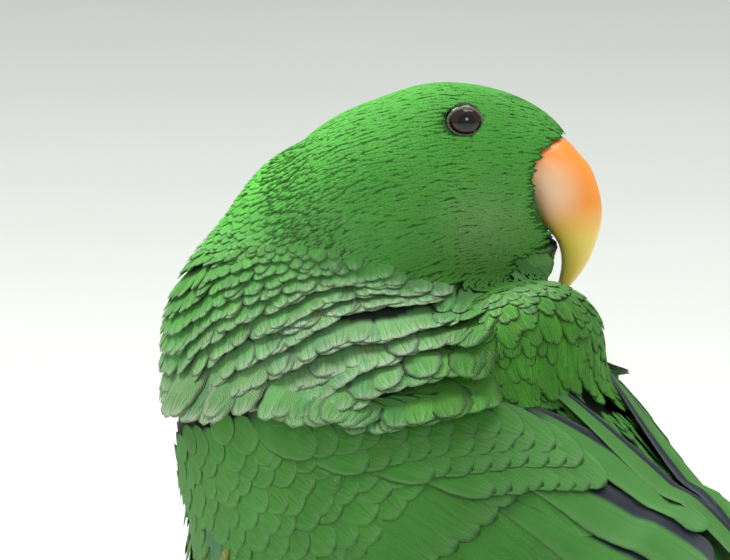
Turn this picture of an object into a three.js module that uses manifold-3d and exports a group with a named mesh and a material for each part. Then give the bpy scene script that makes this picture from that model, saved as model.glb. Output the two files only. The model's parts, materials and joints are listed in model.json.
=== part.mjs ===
// A male eclectus parrot, life size, gripping a cut length of branch on a plain stand.
// The body faces -X and the head is turned back over the bird's right shoulder.
// Millimetres, +Z up, origin under the middle of the stand, on the floor.
import * as THREE from "three";
import { ParametricGeometry } from "three/addons/geometries/ParametricGeometry.js";
import { mergeVertices } from "three/addons/utils/BufferGeometryUtils.js";
import Module from "manifold-3d";

const wasm = await Module();
wasm.setup();
const { Manifold, Mesh: SolidMesh } = wasm;

// Driving dimensions, mm and degrees.
const GAP = 0.3; // clear space between pieces that touch
const TORSO_SLOPE = 36; // how far the back falls towards the tail
const TORSO_LENGTH = 164;
const TORSO_DEPTH = 106;
const TORSO_WIDTH = 104;
const HEAD_YAW = 30; // where the bill points, seen from above, from +X
const BILL_LENGTH = 43; // chord from the forehead feathers to the tip
const WING_LENGTH = 245; // bend to tip, folded
const TAIL_LENGTH = 116; // root to tip of the middle pair
const PERCH_RADIUS = 12;
const PERCH_LENGTH = 165;
const PERCH_TOP = 74; // height of the perch's upper side over the floor
const BODY_OVER_PERCH = 78; // middle of the torso over the perch's upper side
const BASE_RADIUS = 72;
const BASE_THICKNESS = 12;
const ROD_RADIUS = 5;

const rad = THREE.MathUtils.degToRad;
const lerp = THREE.MathUtils.lerp;
const clamp = THREE.MathUtils.clamp;
const smooth = (x, a, b) => THREE.MathUtils.smoothstep(x, a, b);
const V = (x, y, z) => new THREE.Vector3(x, y, z);

// The torso's own axes: towards the tail, to the bird's right, and out of its back.
const REAR = V(Math.cos(rad(TORSO_SLOPE)), 0, -Math.sin(rad(TORSO_SLOPE)));
const RIGHT = V(0, 1, 0);
const DORSAL = V(Math.sin(rad(TORSO_SLOPE)), 0, Math.cos(rad(TORSO_SLOPE)));
const torsoAxes = [REAR, RIGHT, DORSAL];

// The head's axes: forwards, to its left, and up. HEAD_CENTRE is in the torso's middle's frame.
const HEAD_CENTRE = V(-5, 5, 82);
const headMatrix = new THREE.Matrix4().makeRotationZ(rad(HEAD_YAW)).setPosition(HEAD_CENTRE);
const headInverse = headMatrix.clone().invert();
const headAxes = [0, 1, 2].map((i) => new THREE.Vector3().setFromMatrixColumn(headMatrix, i));

const inAxes = (axes, a, b, c) =>
  V(0, 0, 0).addScaledVector(axes[0], a).addScaledVector(axes[1], b).addScaledVector(axes[2], c);
const inTorso = (rearward, rightward, up) => inAxes(torsoAxes, rearward, rightward, up);
const inHead = (forward, left, up) => inAxes(headAxes, forward, left, up).add(HEAD_CENTRE);

// A lump is an ellipsoid: its centre, its axes and its half sizes. The plumage is lumps blended together.
const lump = (centre, axes, ...half) => ({ centre, axes, half });
const worldAxes = [V(1, 0, 0), V(0, 1, 0), V(0, 0, 1)];

const torsoLump = lump(inTorso(-5, 0, 0.7), torsoAxes, TORSO_LENGTH / 2, TORSO_WIDTH / 2, TORSO_DEPTH / 2);
const breastLump = lump(inTorso(-35, 0, -6), torsoAxes, 47, 46, 42.5);
const bellyLump = lump(inTorso(-13, 0, -27), torsoAxes, 44.5, 45, 47);
const rumpLump = lump(inTorso(43.5, 0, 8), torsoAxes, 68, 34, 39);
const tailRootLump = lump(inTorso(98, 0, 4), torsoAxes, 42, 19, 14);
const mantleLump = lump(inTorso(-2.5, -3, 48), torsoAxes, 17.5, 26, 21);
const neckRootLump = lump(V(-45, 0, 40.5), worldAxes, 36.5, 36.5, 36.5);
const napeLump = lump(V(-37, 3, 66), worldAxes, 28, 28, 28);
const skullBackLump = lump(inHead(-15, 0, -4.5), headAxes, 27, 22, 27.5);
const skullFrontLump = lump(inHead(0, 0, 5.5), headAxes, 22.5, 15, 23);
const cheekLump = lump(inHead(1, 0, -10.5), headAxes, 20, 15, 20);
const browLump = lump(inHead(12.5, 0, 2), headAxes, 23, 10, 24.3);

const torsoLumps = [torsoLump, breastLump, bellyLump, rumpLump, tailRootLump, mantleLump, neckRootLump];
const wingRestLumps = torsoLumps.filter((l) => l !== mantleLump);
const headLumps = [neckRootLump, napeLump, skullBackLump, skullFrontLump, cheekLump, browLump];
const BLEND = 3.5; // how widely two lumps run into each other

// Near enough the distance from a point to a lump's surface, less than 0 inside.
function lumpDistance(point, { centre, axes, half }) {
  const away = point.clone().sub(centre);
  let k0 = 0;
  let k1 = 0;
  axes.forEach((axis, i) => {
    const share = away.dot(axis) / half[i];
    k0 += share * share;
    k1 += (share / half[i]) ** 2;
  });
  return k1 === 0 ? -Math.min(...half) : (Math.sqrt(k0) * (Math.sqrt(k0) - 1)) / Math.sqrt(k1);
}

// Distance to the blend of several lumps.
function plumage(point, lumps) {
  const sum = lumps.reduce((s, l) => s + Math.exp(-lumpDistance(point, l) / BLEND), 0);
  return -BLEND * Math.log(sum);
}

// How far from a point inside, along a direction, the plumage's surface lies. level moves the surface out.
const MARCH_STEP = 4;
function reach(from, direction, lumps, level = 0) {
  let near = 0;
  let far = MARCH_STEP;
  const at = (t) => plumage(from.clone().addScaledVector(direction, t), lumps) - level;
  while (at(far) < 0) {
    near = far;
    far += MARCH_STEP;
  }
  for (let i = 0; i < 14; i++) {
    const middle = (near + far) / 2;
    if (at(middle) < 0) near = middle;
    else far = middle;
  }
  return (near + far) / 2;
}

// A closed solid from a geometry: shared corners are merged and faces that shrank to nothing are dropped.
function solidOf(geometry) {
  const bare = geometry.clone();
  bare.deleteAttribute("normal");
  bare.deleteAttribute("uv");
  const merged = mergeVertices(bare, 1e-3);
  const index = merged.index.array;
  const kept = [];
  for (let i = 0; i < index.length; i += 3) {
    const [a, b, c] = index.slice(i, i + 3);
    if (a !== b && b !== c && a !== c) kept.push(a, b, c);
  }
  const build = (triangles) =>
    new Manifold(
      new SolidMesh({
        numProp: 3,
        vertProperties: merged.attributes.position.array,
        triVerts: new Uint32Array(triangles),
      }),
    );
  const solid = build(kept);
  if (solid.volume() > 0) return solid;
  return build(kept.reverse());
}

// A closed solid from a formula: u runs round it and v along it, and both ends close in a point.
const surface = (formula, round, along) => solidOf(new ParametricGeometry(formula, round, along));

// The same for a thin sheet, whose first half round is its top and whose second half goes back beneath. The
// facets beneath are split like those above them, so that the two never pass through each other in a twist.
function sheet(formula, round, along) {
  const geometry = new ParametricGeometry(formula, round, along);
  const index = [];
  for (let i = 0; i < along; i++) {
    for (let j = 0; j < round; j++) {
      const a = i * (round + 1) + j;
      const [b, c, d] = [a + 1, a + round + 2, a + round + 1];
      if (j < round / 2) index.push(a, b, d, b, c, d);
      else index.push(a, b, c, a, c, d);
    }
  }
  geometry.setIndex(index);
  return solidOf(geometry);
}

const join = (solids) => Manifold.union(solids);

// Keeps the largest closed surface, so that no loose scrap is left.
function largest(solid) {
  const pieces = solid.decompose();
  return pieces.reduce((best, piece) => (piece.volume() > best.volume() ? piece : best));
}

// The material beyond a plane, on the side that its normal points to.
const beyond = (solid, normal, point) => solid.trimByPlane(normal.toArray(), normal.dot(point));

const ring = (turns) => 2 * Math.PI * turns;

// The torso: rays from the points of its axis, to the plumage.
const AXIS_FRONT = -TORSO_LENGTH / 2 + 8;
const AXIS_REAR = 140;
function torsoSurface(level, round, along) {
  return surface(
    (u, v, target) => {
      const lean = lerp(-90, 90, v); // the rays lean forwards at the front end and back at the rear
      const x = lerp(AXIS_FRONT + 40, AXIS_REAR - 28, smooth(v, 0.12, 0.88));
      const around = Math.cos(rad(lean)) * (v > 0 && v < 1 ? 1 : 0);
      const direction = inTorso(
        Math.sin(rad(lean)) ** 3,
        around * Math.sin(ring(u)),
        around * Math.cos(ring(u)),
      ).normalize();
      const from = inTorso(x, 0, 0);
      target.copy(from).addScaledVector(direction, reach(from, direction, torsoLumps, level));
    },
    round,
    along,
  );
}

// The head and neck: rays from a curve that climbs from the neck's root into the forehead.
const neckCurve = new THREE.CatmullRomCurve3([
  V(-38, -3, 40),
  V(-31, -7, 66),
  inHead(-9, 0, -3),
  inHead(8, 0, -1),
]);
function headSurface(level, round, along) {
  return surface(
    (u, v, target) => {
      const lean = lerp(-90, 90, v);
      const t = smooth(v, 0.08, 0.92);
      const from = neckCurve.getPoint(t);
      const forward = neckCurve.getTangent(t);
      const across = V(0, 0, 1).cross(inHead(1, 0, 0).sub(HEAD_CENTRE)).normalize();
      const up = forward.clone().cross(across).normalize();
      const sideways = up.clone().cross(forward).normalize();
      const around = Math.cos(rad(lean)) * (v > 0 && v < 1 ? 1 : 0);
      const direction = V(0, 0, 0)
        .addScaledVector(forward, Math.sin(rad(lean)) ** 3)
        .addScaledVector(sideways, around * Math.sin(ring(u)))
        .addScaledVector(up, around * Math.cos(ring(u)))
        .normalize();
      target.copy(from).addScaledVector(direction, reach(from, direction, headLumps, level));
    },
    round,
    along,
  );
}

const torsoWhole = torsoSurface(0, 26, 26);
const torsoGrown = torsoSurface(GAP, 26, 26);
const headWhole = headSurface(0, 22, 24);
const headGrown = headSurface(GAP, 22, 24);

// Thin cuts: the neck ends where the head begins, and the tail's root begins behind the rump.
const HEAD_CUT = inHead(-24, 0, 2);
const headCutNormal = inHead(0.86, 0, 0.5).sub(HEAD_CENTRE).normalize();
const TAIL_CUT = 90;

// The bill. Its culmen and its cutting edge are curves in the head's own frame, and each section
// is an oval between them.
const culmen = new THREE.SplineCurve(
  [
    [24, 15],
    [32.7, 14.6],
    [37.9, 9.7],
    [41.1, 5.4],
    [43.5, -2.6],
    [43.4, -9.6],
    [40.8, -17.6],
    [36.9, -24],
    [32.8, 14.6 - BILL_LENGTH],
  ].map(([forward, up]) => new THREE.Vector2(forward, up)),
);
const cuttingEdge = new THREE.SplineCurve(
  [
    [14, 3],
    [19, 1.5],
    [23.8, -1.5],
    [27, -7.7],
    [31.4, -13.2],
    [32.7, -17.4],
    [32.7, -21.4],
    [32, -25.4],
    [32.2, 14.4 - BILL_LENGTH],
  ].map(([forward, up]) => new THREE.Vector2(forward, up)),
);
const BILL_WIDTH = 21;
const WIDTH_SHARES = [0.86, 1, 1, 0.95, 0.8, 0.63, 0.45, 0.28, 0.07];

// A share table read with straight lines between its values.
function tableAt(values, t) {
  const place = clamp(t, 0, 1) * (values.length - 1);
  const i = Math.min(Math.floor(place), values.length - 2);
  return lerp(values[i], values[i + 1], place - i);
}

function upperBillSurface(grow) {
  return surface(
    (u, v, target) => {
      const t = clamp((v - 0.05) / 0.9, 0, 1);
      const outer = culmen.getPoint(t);
      const inner = cuttingEdge.getPoint(t);
      const middle = outer.clone().add(inner).multiplyScalar(0.5);
      const halfLong = outer.distanceTo(inner) / 2 + grow;
      const halfWide = (BILL_WIDTH / 2) * tableAt(WIDTH_SHARES, t) + grow;
      const open = v > 0 && v < 1 ? 1 : 0;
      const along = outer.clone().sub(inner).normalize();
      const c = Math.cos(ring(u));
      const s = Math.sin(ring(u));
      const fullness = c < 0 ? 0.7 : 0.9; // flatter flanks towards the cutting edge
      const reachAlong = open * halfLong * c;
      const reachWide = open * halfWide * Math.sign(s) * Math.abs(s) ** fullness;
      target.set(middle.x + along.x * reachAlong, reachWide, middle.y + along.y * reachAlong);
    },
    16,
    15,
  );
}

const lowerKeel = new THREE.SplineCurve([
  new THREE.Vector2(12, -25.5),
  new THREE.Vector2(21, -24.8),
  new THREE.Vector2(27.5, -22),
  new THREE.Vector2(31.8, -15.6),
]);
const lowerRim = new THREE.SplineCurve([
  new THREE.Vector2(12, -4),
  new THREE.Vector2(20, -5),
  new THREE.Vector2(26.5, -10),
  new THREE.Vector2(31.4, -14),
]);
const LOWER_WIDTH_SHARES = [0.8, 0.86, 0.74, 0.4];

function lowerBillSurface() {
  return surface(
    (u, v, target) => {
      const t = clamp((v - 0.08) / 0.84, 0, 1);
      const keel = lowerKeel.getPoint(t);
      const rim = lowerRim.getPoint(t);
      const middle = keel.clone().add(rim).multiplyScalar(0.5);
      const open = v > 0 && v < 1 ? 1 : 0;
      const halfWide = (BILL_WIDTH / 2) * tableAt(LOWER_WIDTH_SHARES, t);
      target.set(
        middle.x + ((rim.x - keel.x) / 2) * Math.cos(ring(u)) * open,
        halfWide * Math.sin(ring(u)) * open,
        middle.y + ((rim.y - keel.y) / 2) * Math.cos(ring(u)) * open,
      );
    },
    14,
    10,
  );
}

// The eyes sit in the head's surface, each in a raised ring of bare lid.
const EYE_RADIUS = 5.2;
const EYE_FORWARD = 5.4;
const EYE_UP = 17.9;
const EYE_SUNK = 3.5; // the eyeball's middle under the plumage
const LID_RADIUS = 4.3;
const LID_THICKNESS = 0.8;

function eyePlace(sideSign) {
  const from = inHead(EYE_FORWARD, 0, EYE_UP);
  const out = inHead(0.12, sideSign, 0.1).sub(HEAD_CENTRE).normalize();
  const depth = reach(from, out, headLumps) - EYE_SUNK;
  return { middle: from.addScaledVector(out, depth), out };
}

function ball(middle, radius, round = 16, along = 10) {
  return solidOf(new THREE.SphereGeometry(radius, round, along).translate(...middle.toArray()));
}

function lidRing({ middle, out }) {
  const turn = new THREE.Quaternion().setFromUnitVectors(V(0, 0, 1), out);
  const centre = middle.clone().addScaledVector(out, EYE_SUNK - 0.1);
  const torus = new THREE.TorusGeometry(LID_RADIUS, LID_THICKNESS, 5, 16);
  torus.scale(1.12, 0.92, 1);
  torus.applyQuaternion(turn);
  return solidOf(torus.translate(...centre.toArray()));
}

// A feather vane: a closed strip, flat beneath, with its shaft a low ridge along the top. place(s, across,
// rise) gives a point: s runs from root to tip, across is the distance from the shaft in mm, and rise the
// height over the underside in mm.
const VANE_SECTION = [
  [-1, 0],
  [0, 1],
  [1, 0],
  [0, 0],
];
function vane(place, width, thickness, stations) {
  const last = stations.length - 1;
  const corners = VANE_SECTION.length;
  return sheet(
    (u, v, target) => {
      const i = Math.round(v * last);
      const s = stations[i];
      const open = i > 0 && i < last ? 1 : 0;
      const [across, rise] = VANE_SECTION[Math.round(u * corners) % corners];
      const full = Math.min(1, 0.55 + 1.5 * s) * Math.sqrt(clamp((1.012 - s) / 0.3, 0, 1));
      target.copy(place(s, open * (width / 2) * full * across, open * thickness * rise));
    },
    corners,
    last,
  );
}

// The folded wing lies on a shell round the torso. A place on it is a distance along the torso's axis,
// an angle from the middle of the back, and a height over the plumage.
const shellCache = new Map();
const SHELL_HALVES = [
  [60, 49, 38],
  [80, 46, 34],
  [110, 37, 27],
  [140, 28, 19],
  [180, 17, 10],
]; // along the axis: how far the shell stands off it over the back, and at the side
function rowAt(rows, x) {
  const i = clamp(rows.findIndex((row) => row[0] > x), 1, rows.length - 1);
  const [low, high] = x >= rows.at(-1)[0] ? [rows.at(-1), rows.at(-1)] : [rows[i - 1], rows[i]];
  const share = high === low ? 0 : clamp((x - low[0]) / (high[0] - low[0]), 0, 1);
  return low.map((value, k) => lerp(value, high[k], share));
}
function shellRadius(x, angle) {
  const key = `${x.toFixed(1)},${angle.toFixed(1)}`;
  if (!shellCache.has(key)) {
    const from = inTorso(x, 0, 0);
    const direction = inTorso(0, -Math.sin(rad(angle)), Math.cos(rad(angle)));
    const body = x < 112 ? reach(from, direction, wingRestLumps) : 0;
    const [, back, side] = rowAt(SHELL_HALVES, x);
    const tent = x < 40 ? 0 : 1 / Math.hypot(Math.cos(rad(angle)) / back, Math.sin(rad(angle)) / side);
    shellCache.set(key, Math.max(body, tent * smooth(x, 40, 60)));
  }
  return shellCache.get(key);
}
function onShell(x, angle, height) {
  const radius = shellRadius(x, angle) + height;
  return inTorso(x, -radius * Math.sin(rad(angle)), radius * Math.cos(rad(angle)));
}

const WING_FRONT = -63;
const WING_TIP = WING_FRONT + WING_LENGTH;
const PLATE_REAR = 96;
const PLATE_FLOOR = 1; // the plate's flat underside over the plumage
const PLATE_THICKNESS = 2.3;
const WING_EDGES = [
  [-63, 116, 124],
  [-55, 103, 136],
  [-45, 87, 140],
  [-30, 71, 139],
  [-12, 55, 136],
  [5, 38, 132],
  [20, 22, 128],
  [35, 12, 124],
  [70, 12, 112],
  [96, 18, 98],
]; // along the axis: the upper and the lower edge of the wing's plate, as angles

function wingPlate() {
  return sheet(
    (u, v, target) => {
      const x = lerp(WING_FRONT, PLATE_REAR, v);
      const [, upper, lower] = rowAt(WING_EDGES, x);
      const open = Math.sin(Math.PI * v) ** 0.35 * (v > 0 && v < 1 ? 1 : 0);
      const across = open * (4 * Math.abs(u - 0.5) - 1);
      const rise = u > 0 && u < 0.5 ? PLATE_THICKNESS * open * Math.sin(ring(u)) : 0;
      target.copy(onShell(x, lerp(upper, lower, (across + 1) / 2), PLATE_FLOOR + rise));
    },
    16,
    12,
  );
}

// One feather of the folded wing, from its root to its tip in the shell's own measures.
function wingFeather({ root, tip, width, heights, tilt, stations }) {
  return vane(
    (s, across, rise) => {
      const x = lerp(root[0], tip[0], s);
      const angle = lerp(root[1], tip[1], s);
      const radius = shellRadius(x, angle);
      const height = lerp(heights[0], heights[1], s) + tilt * across + rise;
      return onShell(x, angle + THREE.MathUtils.radToDeg(across / radius), height);
    },
    width,
    0.9,
    stations,
  );
}

// A tier of feathers side by side. from and to are its first and last feather.
const LONG_STATIONS = [0, 0.12, 0.4, 0.7, 0.92, 1];
const SHORT_STATIONS = [0, 0.2, 0.6, 0.9, 1];
function tier(count, from, to, width, heights, stations = SHORT_STATIONS, bow = 1) {
  return Array.from({ length: count }, (_, i) => {
    const share = i / (count - 1);
    const mix = (a, b, by) => a.map((value, k) => lerp(value, b[k], by));
    return wingFeather({
      root: mix(from.root, to.root, share),
      tip: mix(from.tip, to.tip, share ** bow),
      width: lerp(width[0], width[1], share),
      heights,
      tilt: -0.08,
      stations,
    });
  });
}

function leftWing() {
  const primaries = tier(
    6,
    { root: [62, 105], tip: [WING_TIP, 40] },
    { root: [78, 52], tip: [125, 26] },
    [14, 18],
    [1.9, 1.6],
    LONG_STATIONS,
    1.6,
  );
  const secondaries = tier(
    5,
    { root: [36, 108], tip: [114, 64] },
    { root: [34, 40], tip: [110, 22] },
    [17, 20],
    [2.2, 2.6],
  );
  const tertials = tier(
    3,
    { root: [24, 38], tip: [106, 19] },
    { root: [20, 18], tip: [70, 9] },
    [18, 16],
    [2.6, 3.4],
  );
  const scapulars = tier(
    3,
    { root: [-8, 58], tip: [48, 44] },
    { root: [4, 26], tip: [42, 14] },
    [20, 18],
    [2.6, 4.2],
  );
  const greaterCoverts = tier(
    5,
    { root: [8, 124], tip: [40, 120] },
    { root: [10, 56], tip: [46, 46] },
    [20, 20],
    [2.3, 3.6],
  );
  const medianCoverts = tier(
    4,
    { root: [-26, 129], tip: [4, 128] },
    { root: [-20, 70], tip: [12, 58] },
    [21, 21],
    [2.3, 3.9],
  );
  const primaryCoverts = tier(
    2,
    { root: [44, 117], tip: [80, 104] },
    { root: [44, 102], tip: [72, 90] },
    [15, 15],
    [1.9, 2.7],
  );
  return [
    wingPlate(),
    ...primaries,
    ...secondaries,
    ...tertials,
    ...scapulars,
    ...greaterCoverts,
    ...medianCoverts,
    ...primaryCoverts,
  ];
}

// The tail: twelve feathers, the middle pair on top, with coverts over and under their roots.
const TAIL_START = 100;
const TAIL_STATIONS = [0, 0.4, 0.88, 1];
function tailFeather(sideSign, i) {
  const root = [TAIL_START, sideSign * (1.5 + 1.6 * i), 5 - i];
  const length = TAIL_LENGTH - 1.6 * i;
  const drop = 2 - 1.1 * i - (sideSign < 0 ? 0.55 : 0);
  const tip = [TAIL_START + length, sideSign * (4 + 3.7 * i), drop];
  return vane(
    (s, across, rise) =>
      inTorso(
        lerp(root[0], tip[0], s),
        lerp(root[1], tip[1], s) + across,
        lerp(root[2], tip[2], s) + rise - 0.012 * across * across,
      ),
    17,
    0.7,
    TAIL_STATIONS,
  );
}

function tailCovert(y, above, length) {
  const heights = above ? [14, 6] : [-6, -7];
  return vane(
    (s, across, rise) =>
      inTorso(
        lerp(TAIL_START, TAIL_START + length, s),
        lerp(y * 0.6, y, s) + across,
        lerp(heights[0], heights[1], s) + rise - 0.014 * (y + across) ** 2 * (above ? 1 : -0.6),
      ),
    13,
    0.9,
    SHORT_STATIONS,
  );
}

// A tube along a curve whose radius follows a table, closed to a point at both ends.
function limb(points, radii, round = 8, along = 12) {
  const curve = new THREE.CatmullRomCurve3(points, false, "centripetal");
  const frames = curve.computeFrenetFrames(along);
  return surface(
    (u, v, target) => {
      const i = clamp(Math.round(v * along), 0, along);
      const radius = v > 0 && v < 1 ? tableAt(radii, v) : 0;
      target
        .copy(curve.getPointAt(clamp(v, 0, 1)))
        .addScaledVector(frames.normals[i], radius * Math.cos(ring(u)))
        .addScaledVector(frames.binormals[i], radius * Math.sin(ring(u)));
    },
    round,
    along,
  );
}

// Feet. Each has two toes in front of the perch and two behind. Places are in the body's frame, where
// the perch runs along Y, its middle at PERCH_MIDDLE.
const PERCH_MIDDLE = V(6, 0, -BODY_OVER_PERCH - PERCH_RADIUS);
const TOE_RADIUS = 3.6;
const FOOT_SPREAD = 19; // each foot's middle from the bird's own middle
const toes = [
  { name: "inner_front", front: true, splay: -5, sweep: 118 },
  { name: "outer_front", front: true, splay: 7, sweep: 132 },
  { name: "inner_back", front: false, splay: -6, sweep: 88 },
  { name: "outer_back", front: false, splay: 8, sweep: 120 },
];
const KNUCKLES = [0.8, 1.1, 0.92, 1.12, 0.9, 1.08, 0.86, 1, 0.62, 0.3];

// A point on a toe's path: turned by an angle down from the perch's top, at a height over its bark.
function overPerch(sideSign, toe, angle, height) {
  const share = angle / toe.sweep;
  const towards = toe.front ? -1 : 1;
  const radius = PERCH_RADIUS + height;
  const y = sideSign * (FOOT_SPREAD + toe.splay * Math.min(1, 0.25 + share));
  return V(
    towards * radius * Math.sin(rad(angle)),
    y,
    radius * Math.cos(rad(angle)),
  ).add(PERCH_MIDDLE);
}

function toeSolid(sideSign, toe) {
  const height = TOE_RADIUS * 1.12 + GAP + 0.2;
  const path = [-8, 16, 40, 64, 88, 110].map((a) => (a * toe.sweep) / 110);
  const points = path.map((a) => overPerch(sideSign, toe, a, height));
  const radii = KNUCKLES.map((k) => k * TOE_RADIUS);
  return limb(points, radii, 6, 10);
}

function clawSolid(sideSign, toe) {
  const start = toe.sweep - 4;
  const height = TOE_RADIUS + 1;
  const points = [0, 14, 28, 42].map((a, i) =>
    overPerch(sideSign, toe, start + a, height + [0.5, 1.2, 1, 0.4][i]),
  );
  return limb(points, [1.9, 2, 1.6, 1.1, 0.5], 6, 6);
}

const HEEL = V(9, 0, 17); // the heel from the perch's top
const standsAt = (sideSign) => V(PERCH_MIDDLE.x, sideSign * FOOT_SPREAD, -BODY_OVER_PERCH);
function tarsusSolid(sideSign) {
  const foot = standsAt(sideSign);
  const heel = foot.clone().add(HEEL);
  return limb(
    [foot.clone().add(V(0, 0, 2.4)), foot.clone().add(V(3, 0, 8)), heel, heel.clone().add(V(-2, 0, 8))],
    [2.4, 4.8, 4.2, 3.8, 3.9, 4.2, 3.8, 2.4],
    7,
    6,
  );
}

// The feathered shank, from inside the belly to just over the heel.
function shankSolid(sideSign) {
  const heel = standsAt(sideSign).add(HEEL);
  return limb(
    [
      V(-6, sideSign * 25, -36),
      V(2, sideSign * 24, -46),
      heel.clone().add(V(-2, sideSign, 4)),
      heel.clone().add(V(0, 0, -6)),
    ],
    [8, 15, 16, 15, 12.5, 9.4, 7, 5],
    10,
    8,
  );
}

// The perch: a cut branch, a little uneven, with a stub of a side twig.
function perchSolid() {
  const half = PERCH_LENGTH / 2;
  const branch = surface(
    (u, v, target) => {
      const i = v * 16;
      const y = i < 1 ? -half : i > 15 ? half : lerp(-half, half, (i - 1) / 14);
      const knot = 1.4 * Math.exp(-(((Math.abs(y + 62) - 0) / 9) ** 2));
      const uneven = 1 - 0.035 * Math.sin(y / 17 + 1.3 * Math.sin(ring(u))) ** 2;
      const open = v > 0 && v < 1 ? 1 : 0;
      const radius = open * (PERCH_RADIUS * uneven + (Math.abs(y) > 45 ? knot : 0));
      target.set(radius * Math.sin(ring(u)), y, radius * Math.cos(ring(u)));
    },
    16,
    16,
  );
  const twigPath = [V(0, -60, 0), V(-9, -63, 4), V(-17, -66, 9), V(-19, -67, 10.4)];
  const twig = limb(twigPath, [5, 4.8, 4.6, 4.6, 4.6], 8, 6);
  return join([branch, twig]);
}

// Stand: a round base with a bevelled rim, and one rod up into the perch.
function baseGeometry() {
  const bevel = 2.5;
  const profile = [
    [0, 0],
    [BASE_RADIUS - 1, 0],
    [BASE_RADIUS, 1],
    [BASE_RADIUS, BASE_THICKNESS - bevel],
    [BASE_RADIUS - bevel, BASE_THICKNESS],
    [0, BASE_THICKNESS],
  ].map(([r, z]) => new THREE.Vector2(r, z));
  return new THREE.LatheGeometry(profile, 48).rotateX(Math.PI / 2);
}

const materials = {
  plumage: new THREE.MeshStandardMaterial({ color: 0x2f9a35, roughness: 0.8 }),
  flight: new THREE.MeshStandardMaterial({ color: 0x237a2c, roughness: 0.7 }),
  billUpper: new THREE.MeshStandardMaterial({ color: 0xf6952e, roughness: 0.35 }),
  billLower: new THREE.MeshStandardMaterial({ color: 0x1d1a1b, roughness: 0.4 }),
  eye: new THREE.MeshStandardMaterial({ color: 0x140c08, roughness: 0.08 }),
  foot: new THREE.MeshStandardMaterial({ color: 0x5b5a5c, roughness: 0.75 }),
  claw: new THREE.MeshStandardMaterial({ color: 0x1f1d1e, roughness: 0.4 }),
  bark: new THREE.MeshStandardMaterial({ color: 0x7a6350, roughness: 0.9 }),
  stand: new THREE.MeshStandardMaterial({ color: 0x3a2a20, roughness: 0.5 }),
  rod: new THREE.MeshStandardMaterial({ color: 0x9a9a9c, roughness: 0.35, metalness: 1 }),
};

// A named mesh from a solid or a geometry.
function mesh(name, shape, material) {
  let geometry = shape;
  if (!shape.isBufferGeometry) {
    const { vertProperties, triVerts } = shape.getMesh();
    geometry = new THREE.BufferGeometry();
    geometry.setAttribute("position", new THREE.BufferAttribute(vertProperties, 3));
    geometry.setIndex(new THREE.BufferAttribute(triVerts, 1));
    geometry.computeVertexNormals();
  }
  const made = new THREE.Mesh(geometry, material);
  made.name = name;
  return made;
}

const shift = (solid, vector) => solid.translate(vector.toArray());

const parrot = new THREE.Group();
const bird = new THREE.Group();
bird.position.set(0, 0, PERCH_TOP + BODY_OVER_PERCH);
const head = new THREE.Group();
head.position.copy(HEAD_CENTRE);
head.rotation.z = rad(HEAD_YAW);
bird.add(head);
parrot.add(bird);

// Torso and tail share one surface, parted by a thin cut.
const torso = beyond(torsoWhole, REAR.clone().negate(), inTorso(TAIL_CUT, 0, 0));
const tailRoot = beyond(torsoWhole, REAR, inTorso(TAIL_CUT + GAP, 0, 0));
const rectrices = [0, 1, 2, 3, 4, 5].flatMap((i) => [tailFeather(1, i), tailFeather(-1, i)]);
const upperTailCoverts = [-10, -3.5, 3.5, 10].map((y) => tailCovert(y, true, 48 - Math.abs(y)));
const lowerTailCoverts = [-9, 0, 9].map((y) => tailCovert(y, false, 58));
const tail = largest(
  beyond(
    join([tailRoot, ...rectrices, ...upperTailCoverts, ...lowerTailCoverts]),
    REAR,
    inTorso(TAIL_CUT + GAP, 0, 0),
  ),
);
bird.add(mesh("torso", torso, materials.plumage), mesh("tail", tail, materials.flight));

// Head and neck share another, parted in the same way, and the neck ends on the torso.
const aboveTorso = headWhole.subtract(torsoGrown);
const neck = largest(beyond(aboveTorso, headCutNormal.clone().negate(), HEAD_CUT));
bird.add(mesh("neck", neck, materials.plumage));

const eyes = { right: eyePlace(-1), left: eyePlace(1) };
const eyeRooms = Object.values(eyes).map(({ middle }) => ball(middle, EYE_RADIUS + GAP, 14, 8));
const headSide = beyond(aboveTorso, headCutNormal, HEAD_CUT.clone().addScaledVector(headCutNormal, GAP));
const headSolid = largest(join([headSide, lidRing(eyes.right), lidRing(eyes.left)]).subtract(join(eyeRooms)));
bird.add(mesh("head", headSolid, materials.plumage));
for (const [name, { middle }] of Object.entries(eyes))
  bird.add(mesh(`eye_${name}`, ball(middle, EYE_RADIUS), materials.eye));

const headRoom = headGrown.transform(headInverse.elements);
const torsoRoom = torsoGrown.transform(headInverse.elements);
const upperBill = largest(upperBillSurface(0).subtract(headRoom).subtract(torsoRoom));
const lowerBill = largest(
  lowerBillSurface().subtract(upperBillSurface(GAP)).subtract(headRoom).subtract(torsoRoom),
);
head.add(mesh("bill_upper", upperBill, materials.billUpper));
head.add(mesh("bill_lower", lowerBill, materials.billLower));

const wingFeathers = join(leftWing());
const wingLeft = largest(wingFeathers.subtract(torsoGrown));
const wingRight = largest(wingFeathers.mirror([0, 1, 0]).subtract(torsoGrown));
bird.add(mesh("wing_left", wingLeft, materials.flight), mesh("wing_right", wingRight, materials.flight));

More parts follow.
